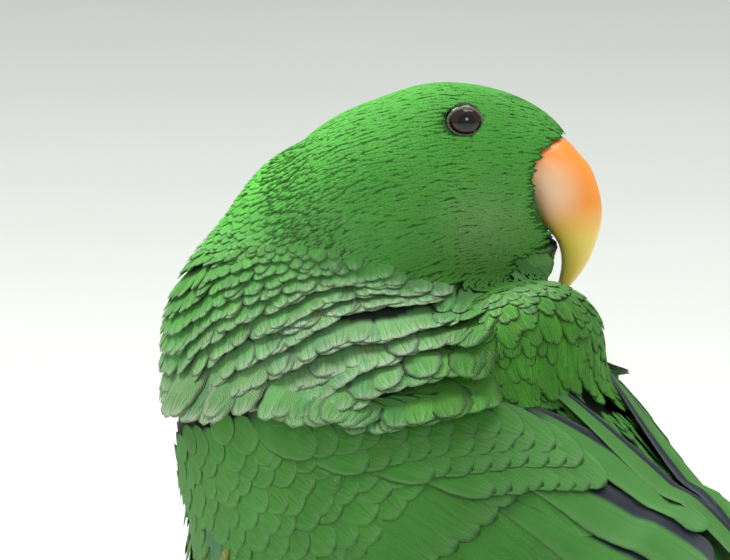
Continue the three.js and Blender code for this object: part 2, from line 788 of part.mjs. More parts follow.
// A slim solid moved by the gap each way makes the room that its neighbours leave round it.
const ROOM_SHIFTS = [V(GAP, 0, 0), V(-GAP, 0, 0), V(0, GAP, 0), V(0, -GAP, 0), V(0, 0, GAP), V(0, 0, -GAP)];
const wingRoom = join([wingLeft, wingRight]);
for (const [side, sign] of [
  ["left", -1],
  ["right", 1],
]) {
  const tarsus = tarsusSolid(sign);
  const foot = largest(join([tarsus, ...toes.map((toe) => toeSolid(sign, toe))]).subtract(torsoGrown));
  const shank = shankSolid(sign).subtract(torsoGrown).subtract(wingRoom);
  const footRoom = join(ROOM_SHIFTS.map((step) => shift(tarsus, step)));
  bird.add(mesh(`leg_${side}`, largest(shank.subtract(footRoom)), materials.plumage));
  const claws = toes.map((toe) => clawSolid(sign, toe));
  const clawRoom = join(claws.flatMap((claw) => ROOM_SHIFTS.map((step) => shift(claw, step))));
  bird.add(mesh(`foot_${side}`, largest(foot.subtract(clawRoom)), materials.foot));
  toes.forEach((toe, i) => bird.add(mesh(`claw_${side}_${toe.name}`, claws[i], materials.claw)));
}

const perch = perchSolid();
const rodRoom = solidOf(
  new THREE.CylinderGeometry(ROD_RADIUS + GAP, ROD_RADIUS + GAP, 40, 24)
    .rotateX(Math.PI / 2)
    .translate(0, 0, -PERCH_RADIUS - 20 + 7),
);
const perchMesh = mesh("perch", perch.subtract(rodRoom), materials.bark);
perchMesh.position.set(PERCH_MIDDLE.x, 0, PERCH_TOP - PERCH_RADIUS);
parrot.add(perchMesh);

const rodTop = PERCH_TOP - 2 * PERCH_RADIUS + 7 - GAP;
const rodLength = rodTop - BASE_THICKNESS - GAP;
const rod = mesh(
  "stand_rod",
  new THREE.CylinderGeometry(ROD_RADIUS, ROD_RADIUS, rodLength, 24).rotateX(Math.PI / 2),
  materials.rod,
);
rod.position.set(PERCH_MIDDLE.x, 0, BASE_THICKNESS + GAP + rodLength / 2);
parrot.add(rod);

const base = mesh("stand_base", baseGeometry(), materials.stand);
parrot.add(base);

export default parrot;
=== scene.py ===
# %% [markdown]
# A male eclectus parrot, life size, looking back over its shoulder from a cut branch on a stand.
# The imported CAD model is the fixed frame.

import json

import bpy
import numpy as np
from mathutils.kdtree import KDTree
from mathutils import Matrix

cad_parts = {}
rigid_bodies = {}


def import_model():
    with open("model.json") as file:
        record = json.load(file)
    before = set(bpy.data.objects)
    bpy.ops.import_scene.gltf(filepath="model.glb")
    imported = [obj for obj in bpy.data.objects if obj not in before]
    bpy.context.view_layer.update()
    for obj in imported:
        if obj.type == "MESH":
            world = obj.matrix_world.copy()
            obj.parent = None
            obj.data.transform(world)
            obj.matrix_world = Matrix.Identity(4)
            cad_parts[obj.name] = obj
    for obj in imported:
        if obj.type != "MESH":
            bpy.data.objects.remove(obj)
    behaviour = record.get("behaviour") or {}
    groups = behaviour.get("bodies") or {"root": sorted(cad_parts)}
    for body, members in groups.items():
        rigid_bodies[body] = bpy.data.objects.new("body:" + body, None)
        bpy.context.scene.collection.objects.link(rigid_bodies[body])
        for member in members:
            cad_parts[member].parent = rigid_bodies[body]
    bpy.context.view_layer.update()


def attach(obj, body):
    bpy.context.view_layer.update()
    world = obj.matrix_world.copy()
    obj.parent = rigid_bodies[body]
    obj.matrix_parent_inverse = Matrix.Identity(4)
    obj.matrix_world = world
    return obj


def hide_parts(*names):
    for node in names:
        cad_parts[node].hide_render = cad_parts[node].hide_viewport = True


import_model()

# %% [markdown]
# Every size is in millimetres and is measured from the middle of the bird's torso, as in the CAD.
# The torso has its own axes, because the back falls towards the tail, and so has the head, because
# it is turned. One function moves a finished shape into the frame, which is in metres.

# %% Driving sizes and axes
rng = np.random.default_rng(11)
PERCH_TOP = 74
BODY_OVER_PERCH = 78
PERCH_RADIUS = 12
TORSO_SLOPE = np.radians(36)
HEAD_YAW = np.radians(30)
MIDDLE = np.array([0, 0, PERCH_TOP + BODY_OVER_PERCH])

TORSO_AXES = np.array(
    [
        [np.cos(TORSO_SLOPE), 0, -np.sin(TORSO_SLOPE)],
        [0, 1, 0],
        [np.sin(TORSO_SLOPE), 0, np.cos(TORSO_SLOPE)],
    ]
)
HEAD_AXES = np.array(
    [
        [np.cos(HEAD_YAW), np.sin(HEAD_YAW), 0],
        [-np.sin(HEAD_YAW), np.cos(HEAD_YAW), 0],
        [0, 0, 1],
    ]
)
HEAD_CENTRE = np.array([-5, 5, 82])
WORLD_AXES = np.eye(3)


def in_torso(*place):
    """A place given rearwards, to the bird's right and out of its back."""
    return np.array(place, float) @ TORSO_AXES


def in_head(*place):
    """A place given forwards, to the head's left and up, from the middle of the head."""
    return HEAD_CENTRE + np.array(place, float) @ HEAD_AXES


def metres(points):
    """Millimetres from the torso's middle, as metres in the frame."""
    return (np.asarray(points) + MIDDLE) * 0.001


def unit(vectors):
    """Vectors with their length made 1."""
    return vectors / np.linalg.norm(vectors, axis=-1, keepdims=True)


# %% [markdown]
# The camera stands where the photographer's did: to the bird's left and a little above it, with a
# very long lens. The photograph's scale is 0.27 mm to the pixel, which fixes the lens for a given
# distance. A pale floor and a pale sky are all that stands around the bird.

# %% Camera, lights and floor
PHOTO_WIDTH, PHOTO_HEIGHT = 730, 560
MM_PER_PIXEL = 0.27
VIEW_AZIMUTH = np.radians(30)
VIEW_ELEVATION = np.radians(8)
CAMERA_DISTANCE = 5000
PHOTO_MIDDLE = (-22, 58)  # middle of the photograph from the torso's middle: to the right, and up
SENSOR_WIDTH = 36

picture_right = np.array([np.cos(VIEW_AZIMUTH), np.sin(VIEW_AZIMUTH), 0])
towards_camera = np.array(
    [
        np.sin(VIEW_AZIMUTH) * np.cos(VIEW_ELEVATION),
        -np.cos(VIEW_AZIMUTH) * np.cos(VIEW_ELEVATION),
        np.sin(VIEW_ELEVATION),
    ]
)
picture_up = np.cross(towards_camera, picture_right)


def add_camera():
    """A camera that looks along the view's own axes, its lens from similar triangles."""
    data = bpy.data.cameras.new("camera")
    data.sensor_width = SENSOR_WIDTH
    data.lens = SENSOR_WIDTH * CAMERA_DISTANCE / (PHOTO_WIDTH * MM_PER_PIXEL)
    data.clip_end = 100
    camera = bpy.data.objects.new("camera", data)
    bpy.context.scene.collection.objects.link(camera)
    target = PHOTO_MIDDLE[0] * picture_right + PHOTO_MIDDLE[1] * picture_up
    matrix = np.eye(4)
    matrix[:3, :3] = np.stack([picture_right, picture_up, towards_camera], axis=1)
    matrix[:3, 3] = metres(target + CAMERA_DISTANCE * towards_camera)
    camera.matrix_world = matrix.T.tolist()
    bpy.context.scene.camera = camera
    return camera


def add_area_light(name, place, size, watts, colour):
    """A soft square light at a place in metres, turned to face the bird."""
    data = bpy.data.lights.new(name, "AREA")
    data.size = size
    data.energy = watts
    data.color = colour
    light = bpy.data.objects.new(name, data)
    bpy.context.scene.collection.objects.link(light)
    back = unit(np.array(place, float) - metres([0, 0, 30]))
    side = unit(np.cross([0, 0, 1], back))
    matrix = np.eye(4)
    matrix[:3, :3] = np.stack([side, np.cross(back, side), back], axis=1)
    matrix[:3, 3] = place
    light.matrix_world = matrix.T.tolist()
    light.visible_camera = False
    return light


camera = add_camera()
add_area_light("key_light", (-1.2, -0.3, 1.7), 0.9, 44, (1, 0.98, 0.90))
add_area_light("sky_light", (0.2, 0.4, 2.1), 1.6, 44, (0.98, 0.99, 1))
add_area_light("front_light", (1.7, -1.5, 1.1), 0.55, 9, (1, 1, 0.97))

scene = bpy.context.scene
scene.view_settings.view_transform = "Standard"
world = bpy.data.worlds.new("pale_sky")
scene.world = world
world.use_nodes = True
sky = world.node_tree.nodes["Background"].inputs
sky["Color"].default_value = (0.86, 0.9, 0.88, 1)
sky["Strength"].default_value = 0.5
print("lens, mm:", round(camera.data.lens, 1))

# %% [markdown]
# The body under its feathers is a handful of egg shapes that run into one another, as a sculptor
# rolls lumps of clay together. Far from where two meet, the blend is just the nearer lump, and
# where they meet it is a smooth fillet.

# %% Lumps of the body
LUMP_BLEND = 3.5


def lumps(*rows):
    """Egg shapes as three arrays: their centres, their axes and their half sizes."""
    centres, axes, halves = zip(*rows)
    return np.array(centres, float), np.array(axes, float), np.array(halves, float)


TORSO = (in_torso(-5, 0, 0.7), TORSO_AXES, (82, 52, 53))
BREAST = (in_torso(-35, 0, -6), TORSO_AXES, (47, 46, 42.5))
BELLY = (in_torso(-13, 0, -27), TORSO_AXES, (44.5, 45, 47))
RUMP = (in_torso(43.5, 0, 8), TORSO_AXES, (68, 34, 39))
TAIL_ROOT = (in_torso(98, 0, 4), TORSO_AXES, (42, 19, 14))
MANTLE = (in_torso(-2.5, -3, 48), TORSO_AXES, (17.5, 26, 21))
NECK_ROOT = ((-45, 0, 40.5), WORLD_AXES, (36.5, 36.5, 36.5))
NAPE = ((-37, 3, 66), WORLD_AXES, (28, 28, 28))
SKULL_BACK = (in_head(-15, 0, -4.5), HEAD_AXES, (27, 22, 27.5))
SKULL_FRONT = (in_head(0, 0, 5.5), HEAD_AXES, (22.5, 15, 23))
CHEEK = (in_head(1, 0, -10.5), HEAD_AXES, (20, 15, 20))
BROW = (in_head(12.5, 0, 2), HEAD_AXES, (23, 10, 24.3))


def thigh(side):
    """The feathered thigh and shank of one leg: a long egg down to the heel and a small one on it."""
    down = unit(np.array([0.55, -0.16 * side, -0.82]))
    across = unit(np.cross(down, [1, 0, 0]))
    axes = np.array([down, across, np.cross(down, across)])
    return [
        ((3, 22.5 * side, -47), axes, (24, 13, 14)),
        ((12, 19.7 * side, -60), axes, (9, 7, 7)),
    ]


BILL_ROOT = (in_head(24, 0, 2.5), HEAD_AXES, (11.5, 11.2, 15))
CHIN_ROOT = (in_head(18, 0, -14.5), HEAD_AXES, (12, 9.9, 12.5))
torso_rows = [TORSO, BREAST, BELLY, RUMP, TAIL_ROOT, MANTLE, NECK_ROOT]
skull_rows = [NAPE, SKULL_BACK, SKULL_FRONT, CHEEK, BROW]
flesh_rows = [*torso_rows, *skull_rows, *thigh(-1), *thigh(1)]
torso_lumps = lumps(*torso_rows)
wing_rest_lumps = lumps(TORSO, BREAST, BELLY, RUMP, TAIL_ROOT, NECK_ROOT)
back_lumps = lumps(TORSO, RUMP, MANTLE)
head_lumps = lumps(NECK_ROOT, *skull_rows)
skull_side = lumps(*skull_rows)
body_side = lumps(TORSO, BREAST, MANTLE, NECK_ROOT)
leg_lumps = {side: lumps(*thigh(side)) for side in (-1, 1)}
flesh_lumps = lumps(*flesh_rows)
body_lumps = lumps(*torso_rows, *skull_rows, BILL_ROOT, CHIN_ROOT)


def plumage(points, shape):
    """Height over a blend of lumps, and the way out of it.

    A lump's distance is about k0 (k0 - 1) / k1, where k0 is the length of the point in the lump's
    own half sizes and k1 that length once more divided by them. The blend of distances d is
    -B ln(sum of exp(-d / B)), and the way out is the lumps' own ways out, weighted alike.
    """
    centres, axes, halves = shape
    offset = points[None] - centres[:, None]
    scaled = np.einsum("lnj,lij->lni", offset, axes) / halves[:, None]
    outward = scaled / halves[:, None]
    k0 = np.linalg.norm(scaled, axis=2)
    k1 = np.maximum(np.linalg.norm(outward, axis=2), 1e-9)
    distance = k0 * (k0 - 1) / k1
    nearest = distance.min(axis=0)
    weight = np.exp(-(distance - nearest) / LUMP_BLEND)
    height = nearest - LUMP_BLEND * np.log(weight.sum(axis=0))
    way_out = np.einsum("ln,lni,lij->nj", weight / k1, outward, axes)
    return height, unit(way_out)


def settle(points, shape, height=0, rounds=4):
    """Points moved along the way out until they stand at a height over the lumps."""
    for _ in range(rounds):
        above, way_out = plumage(points, shape)
        points = points - (above - height)[:, None] * way_out
    return points, way_out


def first_exit(starts, directions, shape):
    """Where rays from inside first leave the lumps: each step is most of the distance still to go."""
    reach = np.zeros(len(starts))
    for _ in range(36):
        above, _ = plumage(starts + reach[:, None] * directions, shape)
        reach = reach - 0.85 * above
    return reach


print("lumps:", len(flesh_rows))

# %% [markdown]
# Two helpers put arrays into Blender. The first makes an object from points and faces. The second
# closes a grid that runs round a shape, with a point at each end, and is used for the bill, the
# toes, the claws, the branch and the stand.

# %% From arrays to meshes


def add_piece(name, points, quads, triangles=(), slot=None, nodes=()):
    """A smooth mesh object from points in mm, put on the one body when a slot is given, and hiding the nodes it
    replaces.
    """
    quads = np.asarray(quads, np.int32).reshape(-1, 4)
    triangles = np.asarray(triangles, np.int32).reshape(-1, 3)
    corners = np.concatenate([quads.ravel(), triangles.ravel()])
    sizes = np.concatenate([np.full(len(quads), 4), np.full(len(triangles), 3)]).astype(np.int32)
    starts = np.concatenate([[0], np.cumsum(sizes)[:-1]]).astype(np.int32)
    mesh = bpy.data.meshes.new(name)
    mesh.vertices.add(len(points))
    mesh.vertices.foreach_set("co", metres(points).astype(np.float32).ravel())
    mesh.loops.add(len(corners))
    mesh.loops.foreach_set("vertex_index", corners)
    mesh.polygons.add(len(sizes))
    mesh.polygons.foreach_set("loop_start", starts)
    mesh.polygons.foreach_set("loop_total", sizes)
    mesh.update(calc_edges=True)
    mesh.validate()
    mesh.shade_smooth()
    piece = bpy.data.objects.new(name, mesh)
    bpy.context.scene.collection.objects.link(piece)
    if slot:
        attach(piece, "root")
    if nodes:
        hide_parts(*nodes)
    return piece


def points_of(piece):
    """A piece's points, in mm from the torso's middle."""
    co = np.empty(len(piece.data.vertices) * 3, np.float32)
    piece.data.vertices.foreach_get("co", co)
    return co.reshape(-1, 3) * 1000.0 - MIDDLE


def close_grid(grid):
    """Points and faces of a grid of rings, closed round and at both ends.

    Row 0 and the last row shrink to their middles, and every other row is a ring.
    """
    rows, round_count = grid.shape[:2]
    rings = grid[1:-1].reshape(-1, 3)
    ends = np.array([grid[0].mean(axis=0), grid[-1].mean(axis=0)])
    points = np.concatenate([rings, ends])
    i = np.arange(rows - 3)[:, None] * round_count
    j = np.arange(round_count)[None]
    after = (j + 1) % round_count
    quads = np.stack([i + j, i + after, i + round_count + after, i + round_count + j], axis=-1)
    first, last = len(rings), len(rings) + 1
    j, after = j[0], after[0]
    base = (rows - 3) * round_count
    start_cap = np.stack([np.full_like(j, first), after, j], axis=1)
    end_cap = np.stack([np.full_like(j, last), base + j, base + after], axis=1)
    return points, quads.reshape(-1, 4), np.concatenate([start_cap, end_cap])


def enclosed_volume(points, quads, triangles):
    """Six times the signed volume, the sum over triangles of a . (b x c)."""
    faces = np.concatenate([quads[:, [0, 1, 2]], quads[:, [0, 2, 3]], triangles])
    a, b, c = (points[faces[:, k]] for k in range(3))
    return np.einsum("ij,ij->", a, np.cross(b, c))


def add_closed_grid(name, grid, slot=None, nodes=()):
    """A closed piece from a grid of rings, its faces turned outwards by the sign of its volume."""
    points, quads, triangles = close_grid(grid)
    if enclosed_volume(points - points.mean(axis=0), quads, triangles) < 0:
        quads = quads[:, ::-1]
        triangles = triangles[:, ::-1]
    return add_piece(name, points, quads, triangles, slot, nodes)


def curve_through(points, shares):
    """A smooth curve through points, read at shares of its way from 0 to 1.

    Between two points it is the cubic whose slope at each is half the step from the point before
    it to the point after it.
    """
    points = np.asarray(points, float)
    padded = np.vstack([2 * points[0] - points[1], points, 2 * points[-1] - points[-2]])
    place = np.clip(shares, 0, 1) * (len(points) - 1)
    i = np.minimum(place.astype(int), len(points) - 2)
    t = (place - i)[:, None]
    a, b, c, d = (padded[i + k] for k in range(4))
    return 0.5 * (
        2 * b + (c - a) * t + (2 * a - 5 * b + 4 * c - d) * t**2 + (3 * b - a - 3 * c + d) * t**3
    )


def along_frames(line):
    """At each point of a line: the way on, and two ways across that turn as little as they can."""
    ways = unit(np.gradient(line, axis=0))
    across = [unit(np.cross(ways[0], [0.1, 1, 0.2]))]
    for way in ways[1:]:
        across.append(unit(across[-1] - (across[-1] @ way) * way))
    across = np.array(across)
    return ways, across, np.cross(ways, across)


def tube(line, radii, round_count, bumps=None):
    """Rings round a line. bumps(row share, angle) gives each point's share of its ring's radius."""
    ways, across, other = along_frames(line)
    angle = np.linspace(0, 2 * np.pi, round_count, endpoint=False)
    share = np.linspace(0, 1, len(line))[:, None]
    scale = np.asarray(radii)[:, None] * (1 if bumps is None else bumps(share, angle[None]))
    scale = scale * np.ones((len(line), round_count))
    ring = np.cos(angle)[None, :, None] * across[:, None] + np.sin(angle)[None, :, None] * other[:, None]
    return line[:, None] + scale[..., None] * ring


# %% [markdown]
# Under the feathers there is one skin for the head, neck, torso and legs. The lumps are made as
# closed egg meshes, fused by a voxel remesh into one surface, and then every point slides along
# the way out to just below the feathers' roots. It shows only as the dark ground between feathers.

# %% The skin
SKIN_VOXEL = 2.2
COAT_DEPTH_HEAD = 1.9
COAT_DEPTH_BODY = 4.2


def egg(centre, axes, half):
    """Rings of an egg 1 mm smaller than its lump: cosines and sines of two angles in its half sizes."""
    up = np.linspace(0, np.pi, 17)[:, None]
    around = np.linspace(0, 2 * np.pi, 24, endpoint=False)[None]
    ones = np.ones_like(around)
    ball = np.stack([np.cos(up) * ones, np.sin(up) * np.cos(around), np.sin(up) * np.sin(around)], axis=-1)
    return centre + (ball * (np.asarray(half) - 1)) @ axes


def coat_depth(points):
    """How far the skin lies under the feather tips: thin on the head, thicker down the neck."""
    from_head = np.linalg.norm(points - in_head(0, 0, -4), axis=1)
    share = np.clip((from_head - 26) / 22, 0, 1)
    return COAT_DEPTH_HEAD + (COAT_DEPTH_BODY - COAT_DEPTH_HEAD) * share


def add_skin():
    """Eggs fused by a voxel remesh, and each point then settled at the coat's depth."""
    points, quads, triangles = [], [], []
    count = 0
    for centre, axes, half in flesh_rows:
        p, q, t = close_grid(egg(np.asarray(centre, float), axes, half))
        if enclosed_volume(p - p.mean(axis=0), q, t) < 0:
            q = q[:, ::-1]
            t = t[:, ::-1]
        points.append(p)
        quads.append(q + count)
        triangles.append(t + count)
        count += len(p)
    stands_for = ("torso", "neck", "head", "leg_left", "leg_right")
    joined = [np.concatenate(part) for part in (points, quads, triangles)]
    skin = add_piece("skin", *joined, "plumage", stands_for)
    remesh = skin.modifiers.new("fuse", "REMESH")
    remesh.mode = "VOXEL"
    remesh.voxel_size = SKIN_VOXEL * 0.001
    with bpy.context.temp_override(object=skin, active_object=skin, selected_objects=[skin]):
        bpy.ops.object.modifier_apply(modifier=remesh.name)
    at, _ = settle(points_of(skin), flesh_lumps, 0)
    at, _ = settle(at, flesh_lumps, -coat_depth(at))
    skin.data.vertices.foreach_set("co", metres(at).astype(np.float32).ravel())
    skin.data.update()
    skin.data.shade_smooth()
    return skin, at


skin, skin_points = add_skin()
print("skin points:", len(skin_points))

# %% [markdown]
# Feathers grow in rows that ring the body, and each row's tips lie over the next row's roots. The
# rings stand across one spine line that runs from the forehead, over the neck and down to the
# tail. In front of its first point they lean forwards, to cover the forehead. Inside the bend of
# the neck they close up and outside it they fan out, as the rows of the ruff do in the photo.

# %% The spine and its rings
RING_POINTS = 180
FINE_STEP = 1.0
LEANING_REACH = 21
FRONT_RADIUS = 15
SPINE_TABLE = [
    (in_head(13, 0, -1), 1.1, 1.05, 4.6, 1.35, 0),
    (in_head(0, 0, -2), 1.25, 1.2, 5.6, 1.6, 0),
    ((-18, -2, 76), 1.6, 1.5, 7.4, 2.0, 0.1),
    ((-31, 0, 64), 2.3, 2.1, 11, 3.4, 0.2),
    ((-38, 0, 48), 4.0, 4.0, 17, 8, 1.2),
    ((-39, 0, 32), 5.0, 5.6, 21, 12, 1.8),
    ((-30, 0, 16), 6.2, 7.4, 24, 14, 3.4),
    (in_torso(-12, 0, 0), 6.4, 8.6, 25, 14.5, 3.2),
    (in_torso(25, 0, 1), 5.8, 9.2, 24, 13.5, 1.2),
    (in_torso(60, 0, 3), 5.8, 9.2, 24, 13.5, 1.0),
    (in_torso(92, 0, 4), 5.6, 8.8, 23, 12.5, 0.9),
    (in_torso(126, 0, 4), 5.4, 8.2, 21, 12, 0.8),
]  # a place, then row step, step along a row, feather length, width and lift of the tip


def leg_spine(side):
    """The line down the middle of a thigh, from inside the belly to the heel."""
    return [(-8, 24.5 * side, -30), (2, 22.7 * side, -46), (13, 19.6 * side, -62), (17, 19 * side, -69)]


def lengths_along(line):
    """How far along a line each of its points lies."""
    return np.concatenate([[0], np.cumsum(np.linalg.norm(np.diff(line, axis=0), axis=1))])


def read_along(line, length, at):
    """The places on a line at distances along it."""
    return np.stack([np.interp(at, length, line[:, k]) for k in range(3)], axis=1)


def even_line(points):
    """A curve through points read at even steps, and how far along it each of the points lies."""
    fine = curve_through(points, np.linspace(0, 1, 900))
    length = lengths_along(fine)
    line = read_along(fine, length, np.arange(0, length[-1], FINE_STEP))
    return line, np.interp(np.linspace(0, 1, len(points)), np.linspace(0, 1, 900), length)


def fine_rings(spine, shape, first):
    """Rings at every mm of the spine, and how fast each of their points moves on from ring to ring.

    Rays leave the spine at right angles, and each ring is where they leave the body. Before the
    spine's first point they lean forwards by the distance over the forehead's radius.
    """
    places = np.arange(first, len(spine) - 1, FINE_STEP)
    index = np.clip(places, 0, None).astype(int)
    ways, across, other = along_frames(spine)
    lean = np.clip(-places / FRONT_RADIUS, 0, 1.5)[:, None, None]
    angle = np.linspace(0, 2 * np.pi, RING_POINTS, endpoint=False)[None, :, None]
    radial = np.cos(angle) * across[index][:, None] + np.sin(angle) * other[index][:, None]
    rays = np.cos(lean) * radial - np.sin(lean) * ways[index][:, None]
    onwards = np.cos(lean) * ways[index][:, None] + np.sin(lean) * radial
    starts = np.repeat(spine[index][:, None], RING_POINTS, axis=1)
    reach = first_exit(starts.reshape(-1, 3), rays.reshape(-1, 3), shape)
    rings = starts + reach.reshape(len(index), -1, 1) * rays
    return places, rings, np.einsum("rnc,rnc->rn", np.gradient(rings, axis=0), onwards)


PULLED_WAY = np.array([0.83, 0.36, -0.42])  # rearwards, a little to the far side and down


def behind_neck(points):
    """0 on the head and neck and 1 behind them: how much nearer the back's lumps are, and how far back."""
    nearer = plumage(points, head_lumps)[0] - plumage(points, back_lumps)[0]
    return np.clip(nearer / 14 + 0.3, 0, 1) * np.clip((points[:, 0] + 30) / 30, 0, 1)


def laid_flat(ways, way_out):
    """Ways w laid on the surface and made 1 long: w - (w . n) n, with n the way out."""
    return unit(ways - np.einsum("ij,ij->i", ways, way_out)[:, None] * way_out)


def flow_along(points, way_out, spine, places):
    """The lie of the feathers: the spine's own way at each feather's ring, laid on the surface.

    Behind the neck they sweep rearwards and to the far side instead, as the turned neck pulls them.
    """
    ways = unit(np.gradient(spine, axis=0)[np.clip(places, 0, len(spine) - 1).astype(int)])
    share = behind_neck(points)[:, None]
    return laid_flat(ways * (1 - share) + PULLED_WAY * share, way_out)


# %% [markdown]
# Roots are read off the rings at even distances, every other row moved by half a feather. Where
# rows crowd together, a root too close to one already there is left out. Any bare place that is
# left, found by asking every point of the skin how far its nearest root is, gets a root of its own.

# %% Roots in rows


def root_rows(places, rings, spread, table):
    """Roots on rows: places, then the place along the spine and the share of the way round.

    The next row starts where the outside of the bend has moved on by one row step.
    """
    outer = np.maximum(np.percentile(spread, 88, axis=1), 0.5)
    kept = []
    tree = None
    place, row = places[1], 0
    while place < places[-1] - 2:
        row_step, column_step = (float(np.interp(place, table[0], table[k])) for k in (1, 2))
        i = int(place - places[0])
        part = place - places[i]
        ring = rings[i] * (1 - part) + rings[i + 1] * part
        closed = np.vstack([ring, ring[:1]])
        length = lengths_along(closed)
        count = max(5, int(round(length[-1] / column_step)))
        at = (np.arange(count) + (row % 2) / 2 + rng.uniform(-0.15, 0.15, count)) / count % 1
        points = read_along(closed, length, at * length[-1])
        onward = np.interp(at * length[-1], length, np.append(spread[i], spread[i][0]))
        clear = onward > 0.2
        if tree is not None:
            nearest = np.array([tree.find(p)[2] for p in points])
            clear &= nearest > 0.64 * row_step
        kept.append(np.column_stack([points, np.full(count, place), at])[clear])
        tree = tree_of(np.concatenate(kept)[:, :3])
        place += row_step / float(np.interp(place, places, outer))
        row += 1
    return np.concatenate(kept)


def tree_of(points):
    """Blender's search tree over points."""
    tree = KDTree(len(points))
    for i, point in enumerate(points):
        tree.insert(point, i)
    tree.balance()
    return tree


def fill_bare_places(roots, skin_points, table, wanted):
    """Roots for the skin's points that have none nearby, one at a time so that they keep apart."""
    tree = tree_of(roots[:, :3])
    found = [tree.find(p) for p in skin_points]
    nearest = np.array([f[1] for f in found])
    gap = np.array([f[2] for f in found])
    limit = 0.95 * np.interp(roots[nearest, 3], table[0], table[2])
    bare = np.flatnonzero((gap > limit) & wanted)
    chosen = []
    for i in rng.permutation(bare):
        near = [j for j in chosen if np.linalg.norm(skin_points[i] - skin_points[j]) < 0.8 * limit[i]]
        if not near:
            chosen.append(i)
    extra = np.column_stack([skin_points[chosen], roots[nearest[chosen], 3:5]])
    print("rows of roots:", len(roots), "and in bare places:", len(extra))
    return np.concatenate([roots, extra])


# %% [markdown]
# One feather is a thin closed lens: a top and an underside that share their rim. Its grid lines
# run as barbs do, out from the shaft and back towards the tip, and alternate barbs are a little
# shorter, for a soft edge. The grid is worked out once, as weights on a few rails, and every
# feather is then its own rails times those weights.

# %% The vane that every feather is cut from


def vane_template(rows, across, steps, sweep=0.2, teeth=0.0, round_from=0.6, root_width=0.3):
    """Weights that turn rails into a vane.

    The barb from the shaft at t ends at T = t + sweep (1 - t), where the vane's half width is
    min(1, root_width + 1.5 T) times the round end sqrt(1 - ((T - r) / (1 - r))^2). A point at a
    share a of the barb lies at t + |a| (T - t), and across at a times the half width. Odd barbs
    are shorter by the share teeth. Across, the rails are joined by a parabola through all three.
    """
    last = rows - 1
    t = 1 - (1 - np.linspace(0, 1, rows)) ** 1.25
    end = t + sweep * (1 - t)
    bend = np.clip((end - round_from) / (1 - round_from), 0, 1)
    half = np.minimum(1, root_width + 1.5 * end) * np.sqrt(np.maximum(1 - bend**2, 0.002))
    reach = 1 - teeth * (np.arange(rows) % 2)
    a = np.concatenate([-np.array(across[:0:-1]), across])
    along = t[:, None] + np.abs(a)[None] * (reach * (end - t))[:, None]
    side = a[None] * (reach * half)[:, None]
    columns = len(a)
    rim = np.zeros((rows, columns), bool)
    rim[[0, last]] = True
    rim[:, [0, -1]] = True
    top = np.arange(rows * columns).reshape(rows, columns)
    under = top.copy()
    under[~rim] = rows * columns + np.arange((~rim).sum())
    keep = np.concatenate([top.ravel(), top[~rim]])
    along, side = along.ravel()[keep], side.ravel()[keep]
    a_all = np.broadcast_to(a, (rows, columns)).ravel()[keep]
    is_under = np.arange(len(keep)) >= rows * columns
    rim_all = rim.ravel()[keep]
    place = np.clip(along, 0, 1) * (steps - 1)
    k = np.minimum(place.astype(int), steps - 2)
    hat = np.zeros((len(keep), steps))
    hat[np.arange(len(keep)), k] = 1 - (place - k)
    hat[np.arange(len(keep)), k + 1] += place - k
    parabola = np.stack([side * (side - 1) / 2, 1 - side**2, side * (side + 1) / 2], axis=1)
    swell = np.where(rim_all, 0, np.where(is_under, -0.5, 0.5 + 0.5 * (np.abs(a_all) < 0.01)))
    quads = []
    for sheet, turned in ((top, False), (under, True)):
        q = np.stack([sheet[:-1, :-1], sheet[1:, :-1], sheet[1:, 1:], sheet[:-1, 1:]], axis=-1)
        q = q.reshape(-1, 4)
        quads.append(q[:, ::-1] if turned else q)
    return {
        "rails": hat[:, :, None] * parabola[:, None],
        "hat": hat * (1 - 2 * is_under[:, None]),
        "swell": hat * swell[:, None],
        "quads": np.concatenate(quads),
        "uv": np.stack([0.5 + 0.5 * a_all, np.clip(along, 0, 1)], axis=1),
        "under": np.where(rim_all, 0.5, is_under.astype(float)),
    }


STEPS = 6
TINY_VANE = vane_template(4, [0, 1], STEPS, root_width=0.6, round_from=0.2)
SOFT_VANE = vane_template(8, [0, 0.6, 1], STEPS, teeth=0.08, round_from=0.5)
FRINGED_VANE = vane_template(10, [0, 0.55, 1], STEPS, sweep=0.2, teeth=0.08, round_from=0.6)
COVERT_VANE = vane_template(12, [0, 0.5, 0.88, 1], STEPS, teeth=0.03, round_from=0.6)
LONG_STEPS = 14
LONG_VANE = vane_template(34, [0, 0.35, 0.7, 0.94, 1], LONG_STEPS, sweep=0.05, teeth=0.015, round_from=0.9)


def lay_feathers(roots, shape, lie, length, width, rise, camber, turn, lift_bend):
    """Rails of feathers that follow the body: for each step, left edge, shaft and right edge.

    Each step goes on by an equal share of the length along the lie, drops back to the surface,
    and stands over it by rise[0] + (rise[1] - rise[0]) share^lift_bend. The edges are half a
    width to each side and lower by the camber.
    """
    count = len(roots)
    rails = np.empty((count, STEPS, 3, 3))
    normals = np.empty((count, STEPS, 3))
    point = roots
    for k in range(STEPS):
        share = k / (STEPS - 1)
        point, way_out = settle(point, shape, 0, 3)
        on = lie(point, way_out)
        aside = np.cross(way_out, on)
        on = np.cos(turn)[:, None] * on + np.sin(turn)[:, None] * aside
        aside = np.cross(way_out, on)
        height = rise[0] + (rise[1] - rise[0]) * share**lift_bend
        rails[:, k, 1] = point + height[:, None] * way_out
        for edge, sign in ((0, -1), (2, 1)):
            beside = point + sign * (width / 2)[:, None] * aside
            rails[:, k, edge], _ = settle(beside, shape, height - camber, 3)
        normals[:, k] = way_out
        point = point + (length / (STEPS - 1))[:, None] * on
    return rails, normals


